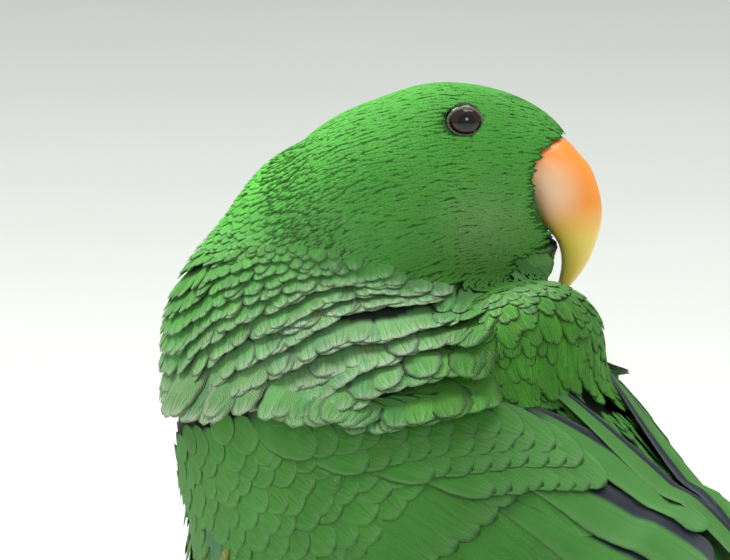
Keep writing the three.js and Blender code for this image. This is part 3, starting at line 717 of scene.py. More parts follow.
def set_colours(mesh, name, values):
    """A colour for each point of a mesh, four numbers each."""
    layer = mesh.attributes.new(name, "FLOAT_COLOR", "POINT")
    layer.data.foreach_set("color", values.astype(np.float32).ravel())


def set_values(mesh, name, values):
    """One number for each point of a mesh."""
    layer = mesh.attributes.new(name, "FLOAT", "POINT")
    layer.data.foreach_set("value", values.astype(np.float32))


def set_ways(mesh, name, values):
    """A direction for each point of a mesh."""
    layer = mesh.attributes.new(name, "FLOAT_VECTOR", "POINT")
    layer.data.foreach_set("vector", values.astype(np.float32).ravel())


def set_uv(mesh, name, values):
    """A UV map from one pair of numbers for each point of a mesh."""
    corners = np.empty(len(mesh.loops), np.int32)
    mesh.loops.foreach_get("vertex_index", corners)
    layer = mesh.uv_layers.new(name=name)
    layer.data.foreach_set("uv", values[corners].astype(np.float32).ravel())


PATCH = 0.003


def add_feathers(name, template, rails, normals, thickness, looks, unwrap, slot, nodes=()):
    """Joins feathers into one piece: rails times the template's weights, plus the thickness.

    looks holds for each feather its colour, how pale its rim is and how far its dark base goes.
    Each feather is a small patch of the unwrap, at its root's place on the body.
    """
    colours, fringe, base = looks
    count = len(rails)
    size = len(template["uv"])
    points = np.einsum("vks,nksc->nvc", template["rails"], rails)
    points += np.einsum("vk,nkc->nvc", template["swell"], normals) * thickness
    quads = template["quads"][None] + np.arange(count)[:, None, None] * size
    piece = add_piece(name, points.reshape(-1, 3), quads.reshape(-1, 4), (), slot, nodes)
    mesh = piece.data
    patch = unwrap[:, None] * (1 - PATCH) + template["uv"][None] * PATCH
    set_uv(mesh, "OFBake", patch.reshape(-1, 2))
    set_uv(mesh, "vane", np.tile(template["uv"], (count, 1)))
    shade = np.column_stack([colours, fringe * np.ones(count)])
    set_colours(mesh, "plumage", np.repeat(shade, size, axis=0))
    set_values(mesh, "dark_base", np.repeat(base * np.ones(count), size))
    set_values(mesh, "under", np.tile(template["under"], count))
    set_ways(mesh, "body_normal", np.einsum("vk,nkc->nvc", template["hat"], normals).reshape(-1, 3))
    print(name, "feathers:", count, "triangles:", 2 * len(template["quads"]) * count)
    return piece


# %% [markdown]
# Skin and feathers share one set of markings, worked out from the place on the body. The head is
# a clear deep green, the nape a little yellower and lit by a painted highlight on its near side,
# the ear coverts greyer, the neck's root paler, partly a painted sheen, the flanks red under the
# wings.

# %% Markings
HEAD_GREEN = np.array([0.068, 0.318, 0.042])
NAPE_GREEN_AND_HIGHLIGHT = np.array([0.084, 0.480, 0.042])
# A yellower green, made brighter as the painted highlight on the lit nape.
EAR_GREEN = np.array([0.300, 0.420, 0.210])
BODY_GREEN = np.array([0.060, 0.225, 0.040])
# Pale grey-green: the ruff's paler feathers, and partly a painted sheen where the light catches them.
PALE_GREEN_AND_SHEEN = np.array([0.120, 0.270, 0.105])
MANTLE_GREEN = np.array([0.046, 0.190, 0.016])
RUFF_GREEN = np.array([0.068, 0.270, 0.046])
FLANK_RED = np.array([0.50, 0.030, 0.015])


def bell(points, centre, spread):
    """1 at a place on the body and falling smoothly to 0 round it."""
    return np.exp(-(np.linalg.norm(points - centre, axis=1) ** 2) / (2 * spread**2))[:, None]


def blend_colours(first, second, share):
    """From the first colour at share 0 to the second at share 1."""
    return first * (1 - share) + second * share


def markings(points):
    """The plumage's colour at each place as patches over one another, painted highlight and sheen among them."""
    from_head = np.linalg.norm(points - in_head(0, 0, -2), axis=1)[:, None]
    colour = blend_colours(HEAD_GREEN, BODY_GREEN, np.clip((from_head - 30) / 30, 0, 1))
    # On the near side only: a yellower green and a painted highlight where the light catches the nape.
    colour = blend_colours(colour, NAPE_GREEN_AND_HIGHLIGHT, 0.9 * bell(points, (-58, -12, 84), 24))
    for side in (-1, 1):
        colour = blend_colours(colour, EAR_GREEN, 0.8 * bell(points, in_head(9, 15 * side, -13), 9))
        # Paler at the neck's root on both sides, partly a painted sheen on the ruff and shoulders.
        colour = blend_colours(colour, PALE_GREEN_AND_SHEEN, 0.75 * bell(points, (-28, 36 * side, 44), 24))
        colour = blend_colours(colour, MANTLE_GREEN, 0.9 * bell(points, (12, 14 * side, 52), 18))
    along = (points @ TORSO_AXES[0])[:, None]
    aside = np.abs(points[:, 1:2])
    depth = (points @ TORSO_AXES[2])[:, None]
    flank = np.exp(-(((along - 6) / 24) ** 2) - (((depth + 38) / 11) ** 2))
    flank = flank * np.clip((aside - 18) / 12, 0, 1)
    return blend_colours(colour, FLANK_RED, 0.95 * np.clip(1.3 * flank, 0, 1))


def varied(colours, amount=0.1):
    """Each feather a little lighter or darker, and a little yellower or bluer, than the next."""
    tone = 1 + amount * rng.standard_normal((len(colours), 1))
    hue = 1 + 0.5 * amount * rng.standard_normal((len(colours), 1)) * np.array([[1.4, 0, -0.6]])
    return np.clip(colours * tone * hue, 0.002, 1)


bareness = np.clip((np.linalg.norm(skin_points - in_head(0, 0, -4), axis=1) - 34) / 16, 0, 1)
set_colours(skin.data, "plumage", np.column_stack([markings(skin_points), bareness]))

# %% [markdown]
# The feathers of the head, neck and body are laid in one pass. Their sizes grow down the spine,
# from bristles a few millimetres long round the bill to broad feathers on the back. Those of the
# ruff stand up from the body over dark down, so that each row shows against the next.

# %% Body feathers
WING_EDGES = np.array(
    [
        [-63, 116, 124], [-55, 103, 136], [-45, 87, 140], [-30, 71, 139], [-12, 55, 136],
        [5, 38, 132], [20, 22, 128], [35, 12, 124], [70, 12, 112], [96, 18, 98],
    ]
)  # along the torso's axis: the wing's upper and lower edge, in degrees from the middle of the back
UPPER, LOWER = 1, 2


def wing_edge(x, which):
    """The wing's upper or lower edge at places along the torso's axis."""
    return np.interp(x, WING_EDGES[:, 0], WING_EDGES[:, which])


def under_wing(points, margin=11):
    """Whether a place on the torso is covered by a folded wing by more than a margin in mm."""
    local = points @ TORSO_AXES.T
    angle = np.degrees(np.arctan2(np.abs(local[:, 1]), local[:, 2]))
    radius = np.maximum(np.hypot(local[:, 1], local[:, 2]), 5)
    edge = np.degrees(margin / radius)
    within = (local[:, 0] > WING_EDGES[0, 0] + margin) & (local[:, 0] < WING_EDGES[-1, 0])
    below_top = angle > wing_edge(local[:, 0], UPPER) + edge
    return within & below_top & (angle < wing_edge(local[:, 0], LOWER) - edge)


BILL_BASE = np.array(
    [
        [-27, 14], [-22.2, 17.6], [-20.1, 19], [-16.8, 21.1], [-15.2, 24.9], [-13.5, 28.4],
        [-10.8, 29.8], [-8.8, 28.4], [-6.5, 27], [-2.5, 25.2], [1.5, 24.1], [4.8, 24.6],
        [6.8, 26], [9.9, 27], [13, 28.7], [14.6, 32.5], [16.5, 40],
    ]
)  # in the head's plane: heights, and how far forward the feathers reach over the bill there


def on_bill(points):
    """Whether places on the head lie on the bill, in front of the line where its feathers end."""
    local = (points - HEAD_CENTRE) @ HEAD_AXES.T
    edge = np.interp(local[:, 2], BILL_BASE[:, 0], BILL_BASE[:, 1])
    near = (np.abs(local[:, 1]) < 13) & (local[:, 2] > BILL_BASE[0, 0])
    return near & (local[:, 0] > edge)


EYE_PLACE = (6.6, 20.3)  # the eye's middle in the head's plane: forwards and up
LID_REACH = (4.95, 4.05)  # half sizes of the lids' outer rim


def from_lid(points):
    """How far in front of the lids' rim a place on the head is in mm, and whether it is inside it."""
    local = (points - HEAD_CENTRE) @ HEAD_AXES.T
    ahead, above = local[:, 0] - EYE_PLACE[0], local[:, 2] - EYE_PLACE[1]
    level = 1 - (above / LID_REACH[1]) ** 2
    rim = LID_REACH[0] * np.sqrt(np.maximum(level, 0))
    beside = (np.abs(local[:, 1]) > 6) & (level > 0) & (local[:, 2] > 0)
    gap = np.where(beside & (ahead > 0), ahead - rim, 99)
    return gap, beside & (np.abs(ahead) < rim)


BODY_END = 112  # along the torso's axis, where the tail's own feathers take over


def bare_of_coat(points):
    """Places that bear no body feathers: under the wings, on the bill, on the eyes and on the tail."""
    on_tail = points @ TORSO_AXES[0] > BODY_END
    return under_wing(points) | on_bill(points) | from_lid(points)[1] | on_tail


spine, stations = even_line([row[0] for row in SPINE_TABLE])
sizes = [stations] + [np.array([row[k] for row in SPINE_TABLE]) for k in range(1, 6)]
places, rings, spread = fine_rings(spine, body_lumps, -LEANING_REACH)
roots = root_rows(places, rings, spread, sizes)
surface_points, _ = settle(skin_points, flesh_lumps, 0)
not_leg = np.all([plumage(surface_points, leg_lumps[side])[0] > 2 for side in (-1, 1)], axis=0)
roots = fill_bare_places(roots, surface_points, sizes, not_leg & ~bare_of_coat(surface_points))
coat_roots = roots[~bare_of_coat(roots[:, :3])]
coat_tree = tree_of(coat_roots[:, :3])
print("spine, mm:", np.round(stations, 1), "roots:", len(coat_roots))

# %% [markdown]
# The ruff and the raised feathers of the back stand in rows, like the pages of an opened book. The
# rows are what the photo shows best, so each is drawn as the line of its feathers' tips in the
# picture, and that line is cast back along the camera's rays on to the body. The far side has the
# same rows mirrored, and those of the ruff also run on across the front of the neck.

# %% Rows of the ruff and the mantle
RUFF_ROWS = [
    [(190, 270), (224, 263), (259, 257), (297, 256), (330, 258)],
    [(178, 299), (213, 282), (251, 269), (290, 262), (335, 262)],
    [(174, 318), (215, 297), (258, 281), (300, 273), (345, 270)],
    [(176, 337), (215, 311), (262, 294), (308, 279), (361, 274)],
    [(178, 357), (214, 328), (262, 304), (314, 291), (380, 283)],
    [(179, 379), (222, 341), (276, 315), (331, 292), (400, 291)],
    [(183, 399), (226, 359), (283, 333), (345, 305), (424, 298)],
    [(194, 412), (245, 373), (300, 346), (356, 318), (440, 307)],
    [(222, 408), (276, 385), (330, 357), (392, 343), (475, 325)],
    [(262, 412), (310, 410), (352, 388), (410, 360), (485, 346)],
    [(275, 420), (325, 420), (375, 406), (430, 390), (490, 378)],
    [(300, 424), (345, 432), (395, 436), (440, 430), (490, 415)],
    [(296, 334), (345, 317), (392, 309), (440, 302)],
    [(240, 402), (284, 399), (322, 383), (362, 369), (430, 352)],
    [(180, 414), (202, 420), (226, 422), (250, 420)],
]  # tips of each row in the photo's pixels, from the front of the neck to the back
MANTLE_ROWS = [
    [(440, 318), (480, 312), (520, 297), (550, 290), (572, 290)],
    [(450, 335), (490, 325), (530, 308), (560, 301), (584, 306)],
    [(455, 352), (500, 338), (540, 322), (575, 317), (592, 327)],
    [(455, 373), (499, 355), (540, 342), (575, 338), (600, 348)],
    [(460, 395), (510, 374), (550, 364), (590, 361), (614, 374)],
    [(480, 412), (530, 392), (570, 383), (605, 386), (628, 398)],
    [(500, 424), (540, 405), (580, 400), (615, 402), (640, 412)],
]
ROWS_OVER_FRONT = 8


def seen_on(pixels, shape):
    """Where the photo's pixels meet the coat: the first place inside it along each camera ray."""
    pixels = np.asarray(pixels, float)
    aside = (pixels[:, :1] - PHOTO_WIDTH / 2) * MM_PER_PIXEL + PHOTO_MIDDLE[0]
    height = PHOTO_MIDDLE[1] - (pixels[:, 1:] - PHOTO_HEIGHT / 2) * MM_PER_PIXEL
    plane = aside * picture_right + height * picture_up
    tried = plane[:, None] + np.arange(90, -60, -1.5)[None, :, None] * towards_camera
    over = plumage(tried.reshape(-1, 3), shape)[0].reshape(len(pixels), -1)
    inside = over < 0.4
    first = np.where(inside.any(axis=1), inside.argmax(axis=1), over.argmin(axis=1))
    return settle(tried[np.arange(len(pixels)), first], shape, 0, 3)[0]


def row_lines(pixels, over_front):
    """A row's line on the near side, and its mirror image, joined over the neck where they should be."""
    near = seen_on(curve_through(pixels, np.linspace(0, 1, 40)), body_lumps)
    far = (near[near[:, 1] < -1] * np.array([1, -1, 1]))[::-1]
    if not over_front:
        return [near, far]
    start = near[0]
    y = np.linspace(-start[1], start[1], 14)[1:-1]
    front = np.column_stack([np.full(12, start[0] - 14), y, np.full(12, start[2])])
    return [np.vstack([far, settle(front, body_lumps, 0, 8)[0], near])]


def row_tips(rows, over_front, spacing, unevenness):
    """Tips spaced evenly on each row: the place, the way the feather points and the row's number.

    A feather points across its row, along the surface: the row's own way crossed with the way out.
    """
    found = []
    for number, pixels in enumerate(rows):
        for line in row_lines(pixels, number < over_front):
            length = lengths_along(line)
            count = int(length[-1] / spacing)
            at = (np.arange(count) + rng.uniform(0.2, 0.8, count)) / count * length[-1]
            row_way = read_along(line, length, at + 4) - read_along(line, length, at - 4)
            tips, way_out = settle(read_along(line, length, at), body_lumps, 0, 3)
            way = unit(np.cross(row_way, way_out))
            tips = tips + rng.normal(0, unevenness, (count, 1)) * way
            found.append(np.column_stack([tips, way, np.full(count, number)]))
    return np.concatenate(found)


ruff_tips = row_tips(RUFF_ROWS, ROWS_OVER_FRONT, 2.4, 0.5)
mantle_tips = row_tips(MANTLE_ROWS, 0, 2.5, 1.8)
ROW_REACH = 14
ROW_CLEARANCE = 3.5


def without_rows(roots):
    """The coat's roots that the rows leave in place.

    On the head those a little clear of the rows stay. On the body a root goes when a tip of a row
    lies near it and ahead of it, t . w > 1.5 mm with t the step to the tip and w the tip's way,
    because its feather would then lie over that row.
    """
    tips = np.concatenate([ruff_tips, mantle_tips])
    tree = tree_of(tips[:, :3])
    gap = np.array([tree.find(p)[2] for p in roots[:, :3]])
    on_skull = plumage(roots[:, :3], skull_side)[0] < plumage(roots[:, :3], body_side)[0]
    near = np.flatnonzero((gap < ROW_REACH) & ~on_skull)
    step = tips[None, :, :3] - roots[near, None, :3]
    ahead = np.einsum("rtk,tk->rt", step, tips[:, 3:6]) > 1.5
    stays = ~on_skull | (gap > ROW_CLEARANCE)
    stays[near] = ~(ahead & (np.linalg.norm(step, axis=2) < ROW_REACH)).any(axis=1)
    return roots[stays]


roots = without_rows(coat_roots)
print("tips in the ruff:", len(ruff_tips), "on the mantle:", len(mantle_tips))


def ruff_share(points):
    """1 on the ruff, which stands up at the neck's root on both sides, and 0 away from it."""
    folded = np.column_stack([points[:, 0], -np.abs(points[:, 1]), points[:, 2]])
    crest = ((-56, -24, 46), (-44, -36, 38), (-28, -38, 44), (-10, -34, 48), (6, -28, 50))
    return np.clip(1.3 * np.max([bell(folded, centre, 12)[:, 0] for centre in crest], axis=0), 0, 1)


def skin_unwrap(roots, stations_used, patch):
    """Each root's place on the skin's own unwrap: round the spine across, along the spine upwards."""
    along = (roots[:, 3] - stations_used[0] + LEANING_REACH) / (np.ptp(stations_used) + LEANING_REACH)
    return np.stack([roots[:, 4] % 1, patch[0] + (patch[1] - patch[0]) * np.clip(along, 0, 1)], axis=1)


def lay_coat(name, template, roots, line, shape, sizes, camber, thick, patch):
    """Lays roots as feathers of one template. patch is the band of the unwrap that they take."""
    length, width, lift = (np.interp(roots[:, 3], sizes[0], sizes[k]) for k in (3, 4, 5))
    on_face = np.clip((stations[3] + 8 - roots[:, 3]) / 26, 0, 1) * (line is spine)
    count = len(roots)
    wide = width * rng.uniform(0.88, 1.14, count)
    far = length * rng.uniform(0.88, 1.14, count)
    far = np.minimum(far, from_lid(roots[:, :3])[0] + 0.3)
    depth = coat_depth(roots[:, :3]) * (0.8 - 0.72 * on_face)
    lift = lift * rng.uniform(0.7, 1.25, count)
    rise = (-depth, lift - 0.4 + 0.2 * on_face)
    lie = lambda points, way_out: flow_along(points, way_out, line, roots[:, 3])
    turn = rng.normal(0, 0.08, count)
    rails, normals = lay_feathers(roots[:, :3], shape, lie, far, wide, rise, camber, turn, 1.2)
    tips = rails[:, -1, 1]
    colours = varied(markings(tips), (0.08 - 0.05 * on_face)[:, None])
    looks = (colours, 0.05 + 0.5 * ruff_share(tips), 0.25 - 0.45 * on_face)
    unwrap = skin_unwrap(roots, sizes[0], patch)
    return add_feathers(name, template, rails, normals, thick, looks, unwrap, "plumage")


FOREHEAD, TAIL_END = -99, 999
FACE_START, FACE_END, CROWN_END = 0, stations[1] + 4, stations[2] + 8
NAPE_END, RUFF_END = stations[3] + 8, stations[6]
BODY_BAND, LEG_BAND = (0, 0.9), (0.92, 1)
for name, template, first, last, camber, thick in (
    ("bill_edge_feathers", TINY_VANE, FOREHEAD, FACE_START, 0.03, 0.1),
    ("face_feathers", TINY_VANE, FACE_START, FACE_END, 0.03, 0.1),
    ("crown_feathers", TINY_VANE, FACE_END, CROWN_END, 0.04, 0.12),
    ("nape_feathers", SOFT_VANE, CROWN_END, NAPE_END, 0.12, 0.15),
    ("throat_feathers", SOFT_VANE, NAPE_END, RUFF_END, 0.25, 0.25),
    ("breast_and_back_feathers", SOFT_VANE, RUFF_END, TAIL_END, 0.3, 0.25),
):
    chosen = roots[(roots[:, 3] >= first) & (roots[:, 3] < last)]
    lay_coat(name, template, chosen, spine, body_lumps, sizes, camber, thick, BODY_BAND)

# %% [markdown]
# A row's feathers are laid from the tip backwards: the root is found by walking back over the
# surface from the tip. Every row of the ruff stands up a little more than the one before it, and
# the lowest lie over the wings. Those of the mantle lie flat and silky.

# %% Feathers of the ruff and the mantle


def lay_rows(name, template, tips, length, width, depth, lift, looks):
    """Lays feathers whose tips are given. Each root is found by going back from its tip.

    Its patch of the unwrap is that of the nearest root of the even coat.
    """
    place, way = tips[:, :3], tips[:, 3:6]

    def lie(points, way_out):
        """The tip's own way, laid on the surface."""
        return laid_flat(way, way_out)

    far = length * rng.uniform(0.92, 1.08, len(tips))
    for _ in range(4):
        place, way_out = settle(place, body_lumps, 0, 3)
        place = place - far[:, None] / 4 * lie(place, way_out)
    place = settle(place, body_lumps, 0, 3)[0]
    wide = width * rng.uniform(0.85, 1.15, len(tips))
    rise = (np.full(len(tips), -depth), lift * rng.uniform(0.85, 1.15, len(tips)))
    turn = rng.normal(0, 0.09, len(tips))
    rails, normals = lay_feathers(place, body_lumps, lie, far, wide, rise, 0.5, turn, 1.5)
    nearest = [coat_tree.find(p)[1] for p in place]
    unwrap = skin_unwrap(coat_roots[nearest], sizes[0], BODY_BAND)
    return add_feathers(name, template, rails, normals, 0.25, looks, unwrap, "plumage")


row = ruff_tips[:, 6]
to_mantle = np.clip((ruff_tips[:, 0] - 6) / 16, 0, 1)
# Paler rows of the ruff, partly a painted sheen where the light catches them.
paleness_and_sheen = np.interp(row, [3, 8, 9.5, 11, 12], [0, 1, 0.8, 0.4, 1])
shade = blend_colours(RUFF_GREEN, PALE_GREEN_AND_SHEEN, paleness_and_sheen[:, None])
shade = blend_colours(shade, MANTLE_GREEN, 0.8 * to_mantle[:, None])
fringe = np.interp(row, [0, 4, 9, 11, 12], [0.15, 0.5, 0.7, 0.4, 0.7]) * (1 - 0.7 * to_mantle)
dark = np.interp(row, [0, 2, 9, 11], [0.1, 0.5, 0.42, 0.15]) * (1 - to_mantle)
looks = (varied(shade, 0.1), fringe, dark)
lay_rows(
    "ruff_feathers",
    FRINGED_VANE,
    ruff_tips,
    np.interp(row, [0, 11], [14, 20]),
    np.interp(row, [0, 6, 11], [6.5, 9.5, 12]),
    2.8,
    np.interp(row, [0, 2, 7, 9, 10, 11, 12, 13, 14], [0.4, 1.1, 1.7, 3.0, 5.5, 7.5, 1.2, 1.4, 6.0]),
    looks,
)
row = mantle_tips[:, 6]
# The mantle's front rows take the same pale grey-green, partly a painted sheen.
shade = blend_colours(PALE_GREEN_AND_SHEEN, MANTLE_GREEN, np.clip((row[:, None] + 2) / 4, 0, 1))
looks = (varied(shade, 0.1), np.interp(row, [0, 3, 6], [0.15, 0.06, 0.03]), np.full(len(row), -0.15))
lay_rows(
    "mantle_feathers",
    FRINGED_VANE,
    mantle_tips,
    np.interp(row, [0, 6], [18, 23]),
    np.full(len(row), 7.5),
    1.0,
    np.interp(row, [0, 3, 4, 6], [0.3, 0.6, 0.2, 0.7]),
    looks,
)

LEG_TABLE = [(0, 3.4, 5, 13, 7.5, 0.8), (40, 2.6, 3.6, 9, 5.2, 0.8)]
leg_sizes = [np.array([row[k] for row in LEG_TABLE], float) for k in range(6)]
for side, name in ((-1, "left"), (1, "right")):
    leg_line, _ = even_line(leg_spine(side))
    leg_places, leg_rings, leg_spread = fine_rings(leg_line, leg_lumps[side], 0)
    leg_roots = root_rows(leg_places, leg_rings, leg_spread, leg_sizes)
    leg_roots = leg_roots[plumage(leg_roots[:, :3], torso_lumps)[0] > -2]
    laid = (leg_roots, leg_line, leg_lumps[side], leg_sizes)
    lay_coat(f"leg_feathers_{name}", SOFT_VANE, *laid, 0.4, 0.3, LEG_BAND)

# %% [markdown]
# A folded wing lies on a shell round the torso. A place on the shell is a distance along the
# torso's axis, an angle from the middle of the back and a height. The shell follows the body in
# front and is a low tent behind it, so that the wing tips meet over the tail. One wing is worked
# out, and the other is its mirror image.

# %% The shell that the wings lie on
SHELL_HALVES = np.array([[60, 49, 38], [80, 46, 34], [110, 37, 27], [140, 28, 19], [180, 17, 10]])
SHELL_X = np.arange(-72, 192, 3.0)
SHELL_ANGLE = np.arange(-12, 153, 3.0)


def shell_table():
    """The shell's radius on a grid: the larger of the body's and an oval tent's behind it."""
    x, angle = np.meshgrid(SHELL_X, np.radians(SHELL_ANGLE), indexing="ij")
    across = np.stack([np.zeros_like(x), -np.sin(angle), np.cos(angle)], axis=-1)
    starts = np.stack([x, 0 * x, 0 * x], axis=-1) @ TORSO_AXES
    rays = across @ TORSO_AXES
    body = first_exit(starts.reshape(-1, 3), rays.reshape(-1, 3), wing_rest_lumps).reshape(x.shape)
    body = np.where(x < BODY_END, np.maximum(body, 0), 0)
    back = np.interp(x, SHELL_HALVES[:, 0], SHELL_HALVES[:, 1])
    side = np.interp(x, SHELL_HALVES[:, 0], SHELL_HALVES[:, 2])
    tent = 1 / np.hypot(np.cos(angle) / back, np.sin(angle) / side)
    share = np.clip((x - 40) / 20, 0, 1)
    return np.maximum(body, tent * share * share * (3 - 2 * share))


shell_radii = shell_table()


def shell_radius(x, angle):
    """The table read between its points, straight both ways."""
    i = np.clip((x - SHELL_X[0]) / 3, 0, len(SHELL_X) - 1.001)
    j = np.clip((angle - SHELL_ANGLE[0]) / 3, 0, len(SHELL_ANGLE) - 1.001)
    i0, j0 = i.astype(int), j.astype(int)
    di, dj = i - i0, j - j0
    low = shell_radii[i0, j0] * (1 - dj) + shell_radii[i0, j0 + 1] * dj
    high = shell_radii[i0 + 1, j0] * (1 - dj) + shell_radii[i0 + 1, j0 + 1] * dj
    return low * (1 - di) + high * di


def on_shell(x, angle, height, side):
    """A place on the shell. side is -1 for the bird's left wing and 1 for its right."""
    radius = shell_radius(x, angle) + height
    turn = np.radians(angle)
    local = np.stack([x, side * radius * np.sin(turn), radius * np.cos(turn)], axis=-1)
    return local @ TORSO_AXES


def lay_on_shell(roots, tips, width, heights, side, steps, camber, bow, tilt):
    """Rails of feathers on the shell, from roots to tips in the shell's own measures.

    The shaft runs straight in distance and angle, bent to one side by bow at its middle. Its
    edges are half a width away at right angles on the unrolled shell. tilt raises the lower edge
    over the next feather down and sinks the upper edge under the next one up.
    """
    count = len(roots)
    rails = np.empty((count, steps, 3, 3))
    normals = np.empty((count, steps, 3))
    for k in range(steps):
        share = k / (steps - 1)
        x = roots[:, 0] + (tips[:, 0] - roots[:, 0]) * share
        angle = roots[:, 1] + (tips[:, 1] - roots[:, 1]) * share + bow * 4 * share * (1 - share)
        radius = shell_radius(x, angle)
        way_x = tips[:, 0] - roots[:, 0]
        way_y = np.radians(tips[:, 1] - roots[:, 1]) * radius
        size = np.hypot(way_x, way_y)
        out_x, out_angle = -way_y / size, np.degrees(way_x / size / radius)
        height = heights[0] + (heights[1] - heights[0]) * share
        for edge, sign in ((0, side), (1, 0), (2, -side)):
            reach = sign * width / 2
            drop = camber * abs(sign) - tilt * sign
            beside, turned = x + reach * out_x, angle + reach * out_angle
            rails[:, k, edge] = on_shell(beside, turned, height - drop, side)
        normals[:, k] = on_shell(x, angle, height + 1, side) - rails[:, k, 1]
    return rails, normals


# %% [markdown]
# The feathers of a wing come in tiers: flight feathers at the bottom, then the greater, median and
# lesser coverts over their roots, each tier shorter than the one below it, and the scapulars over
# them all from the back. Each tier is a fan between its first and last feather.

# %% Wing tiers


def fan(count, first, last, ease=1.0, wander=0.6):
    """Roots and tips spread evenly between two feathers, each moved a little."""
    share = np.linspace(0, 1, count)
    first, last = np.array(first, float), np.array(last, float)
    ends = first[None] + (last - first)[None] * share[:, None] ** np.array([1, 1, ease, ease])
    ends += rng.normal(0, wander, ends.shape) * np.array([0.5, 0.3, 1.2, 0.4])
    return ends[:, :2], ends[:, 2:], share


def covert_rows(x_from, x_to, rows, table, margin):
    """Rows of small coverts from the wing's front edge rearwards, across the whole wing."""
    roots, tips, widths = [], [], []
    for row, x in enumerate(np.linspace(x_from, x_to, rows)):
        length, width, step = (np.interp(x, table[:, 0], table[:, k]) for k in (1, 2, 3))
        upper, lower = wing_edge(x, UPPER) + margin, wing_edge(x, LOWER) - margin
        radius = float(shell_radius(np.array([x]), np.array([(upper + lower) / 2]))[0])
        count = max(3, int(np.radians(lower - upper) * radius / step) + 1)
        angle = np.linspace(lower, upper, count) + (row % 2) * np.degrees(step / radius) / 2
        angle = angle + rng.normal(0, 0.7, count)
        away = x + rng.normal(0, 0.8, count)
        fall = -0.1 * length * np.clip((angle - 60) / 60, -0.5, 1)
        roots.append(np.column_stack([away, angle]))
        tips.append(np.column_stack([away + length * rng.uniform(0.92, 1.1, count), angle + fall]))
        widths.append(np.full(count, width) * rng.uniform(0.92, 1.1, count))
    return np.concatenate(roots), np.concatenate(tips), np.concatenate(widths)


WING_GREEN = np.array([0.042, 0.180, 0.024])
# A paler grey-green, painted as the sheen where the light catches the shoulder.
WING_PAINTED_SHEEN = np.array([0.070, 0.235, 0.044])
BEND_BLUE = np.array([0.020, 0.075, 0.260])
WING_TIP = 182


def wing_colour(tips):
    """Green with some paler grey-green mixed in, a painted highlight on the shoulder, and blue along the bend."""
    angle, x = tips[:, 1], tips[:, 0]
    # A painted highlight: paler where the light catches the shoulder.
    shoulder = np.exp(-(((x + 40) / 22) ** 2))[:, None]
    colour = blend_colours(WING_GREEN, WING_PAINTED_SHEEN, np.clip(0.25 + 0.6 * shoulder, 0, 1))
    edge = np.clip(1 - (wing_edge(x, LOWER) - angle) / 10, 0, 1)[:, None]
    edge = edge * ((x > -30) & (x < 10))[:, None]
    return blend_colours(colour, BEND_BLUE, edge)


def add_tier(name, side, template, ends, heights, bends, thick, looks):
    """One tier of a wing as a piece. Its unwrap is the shell's own, along it and round it.

    ends holds the roots, tips and widths, bends the camber, bow and tilt, and looks how uneven the
    colours are, how pale the rims and how far the dark bases go. The left wing's vanes are read
    the other way across, so that 1 is the upper edge on both.
    """
    roots, tips, width = ends
    unevenness, fringe, dark = looks
    if side < 0:
        template = {**template, "uv": template["uv"] * np.array([-1, 1]) + np.array([1, 0])}
    steps = template["swell"].shape[1]
    rails, normals = lay_on_shell(roots, tips, width, heights, side, steps, *bends)
    looks = (varied(wing_colour(tips), unevenness), fringe, dark)
    unwrap = np.clip(np.stack([(roots[:, 1] + 15) / 170, (roots[:, 0] + 75) / 260], axis=1), 0, 1)
    piece_name = f"{name}_{WINGS[side]}"
    return add_feathers(piece_name, template, rails, normals, thick, looks, unwrap, "flight_feathers")


def wing_base(side):
    """The wing's flesh and the hidden roots of its feathers: a thin closed plate on the shell."""
    v = np.linspace(0, 1, 60)[:, None]
    u = np.linspace(0, 1, 40, endpoint=False)[None]
    x = WING_EDGES[0, 0] + (WING_EDGES[-1, 0] - WING_EDGES[0, 0]) * v * np.ones_like(u)
    upper, lower = wing_edge(x, UPPER), wing_edge(x, LOWER)
    open_share = np.sin(np.pi * v) ** 0.35
    across = open_share * (4 * np.abs(u - 0.5) - 1)
    rise = np.where(u < 0.5, 1.3 * open_share * np.sin(2 * np.pi * u), 0)
    return on_shell(x, upper + (lower - upper) * (across + 1) / 2, 0.4 + rise, side)


WINGS = {-1: "left", 1: "right"}
SCAPULAR_ROWS = [
    ((-44, 88, -18, 80), (-4, 46, 20, 36), 12, 10),
    ((-32, 82, -4, 73), (2, 42, 28, 31), 12, 10),
    ((-20, 74, 12, 63), (8, 38, 36, 27), 12, 9),
    ((-8, 66, 26, 54), (12, 36, 44, 26), 12, 8),
]  # root and tip of the lowest and of the highest feather of a row, their width and count
TERTIALS = [
    (24, 56, 98, 32, 16),
    (18, 48, 80, 20, 15),
    (14, 29, 70, 9, 13),
    (8, 18, 92, 3, 10),
]  # root and tip of each, and its width

COVERT_TABLE = np.array([[-62, 9, 6, 3.6], [-50, 13, 8.5, 4.6], [-30, 19, 12, 6.5], [-8, 23, 14, 8]])
BASE_COLOUR = (0.03, 0.045, 0.03, 1)


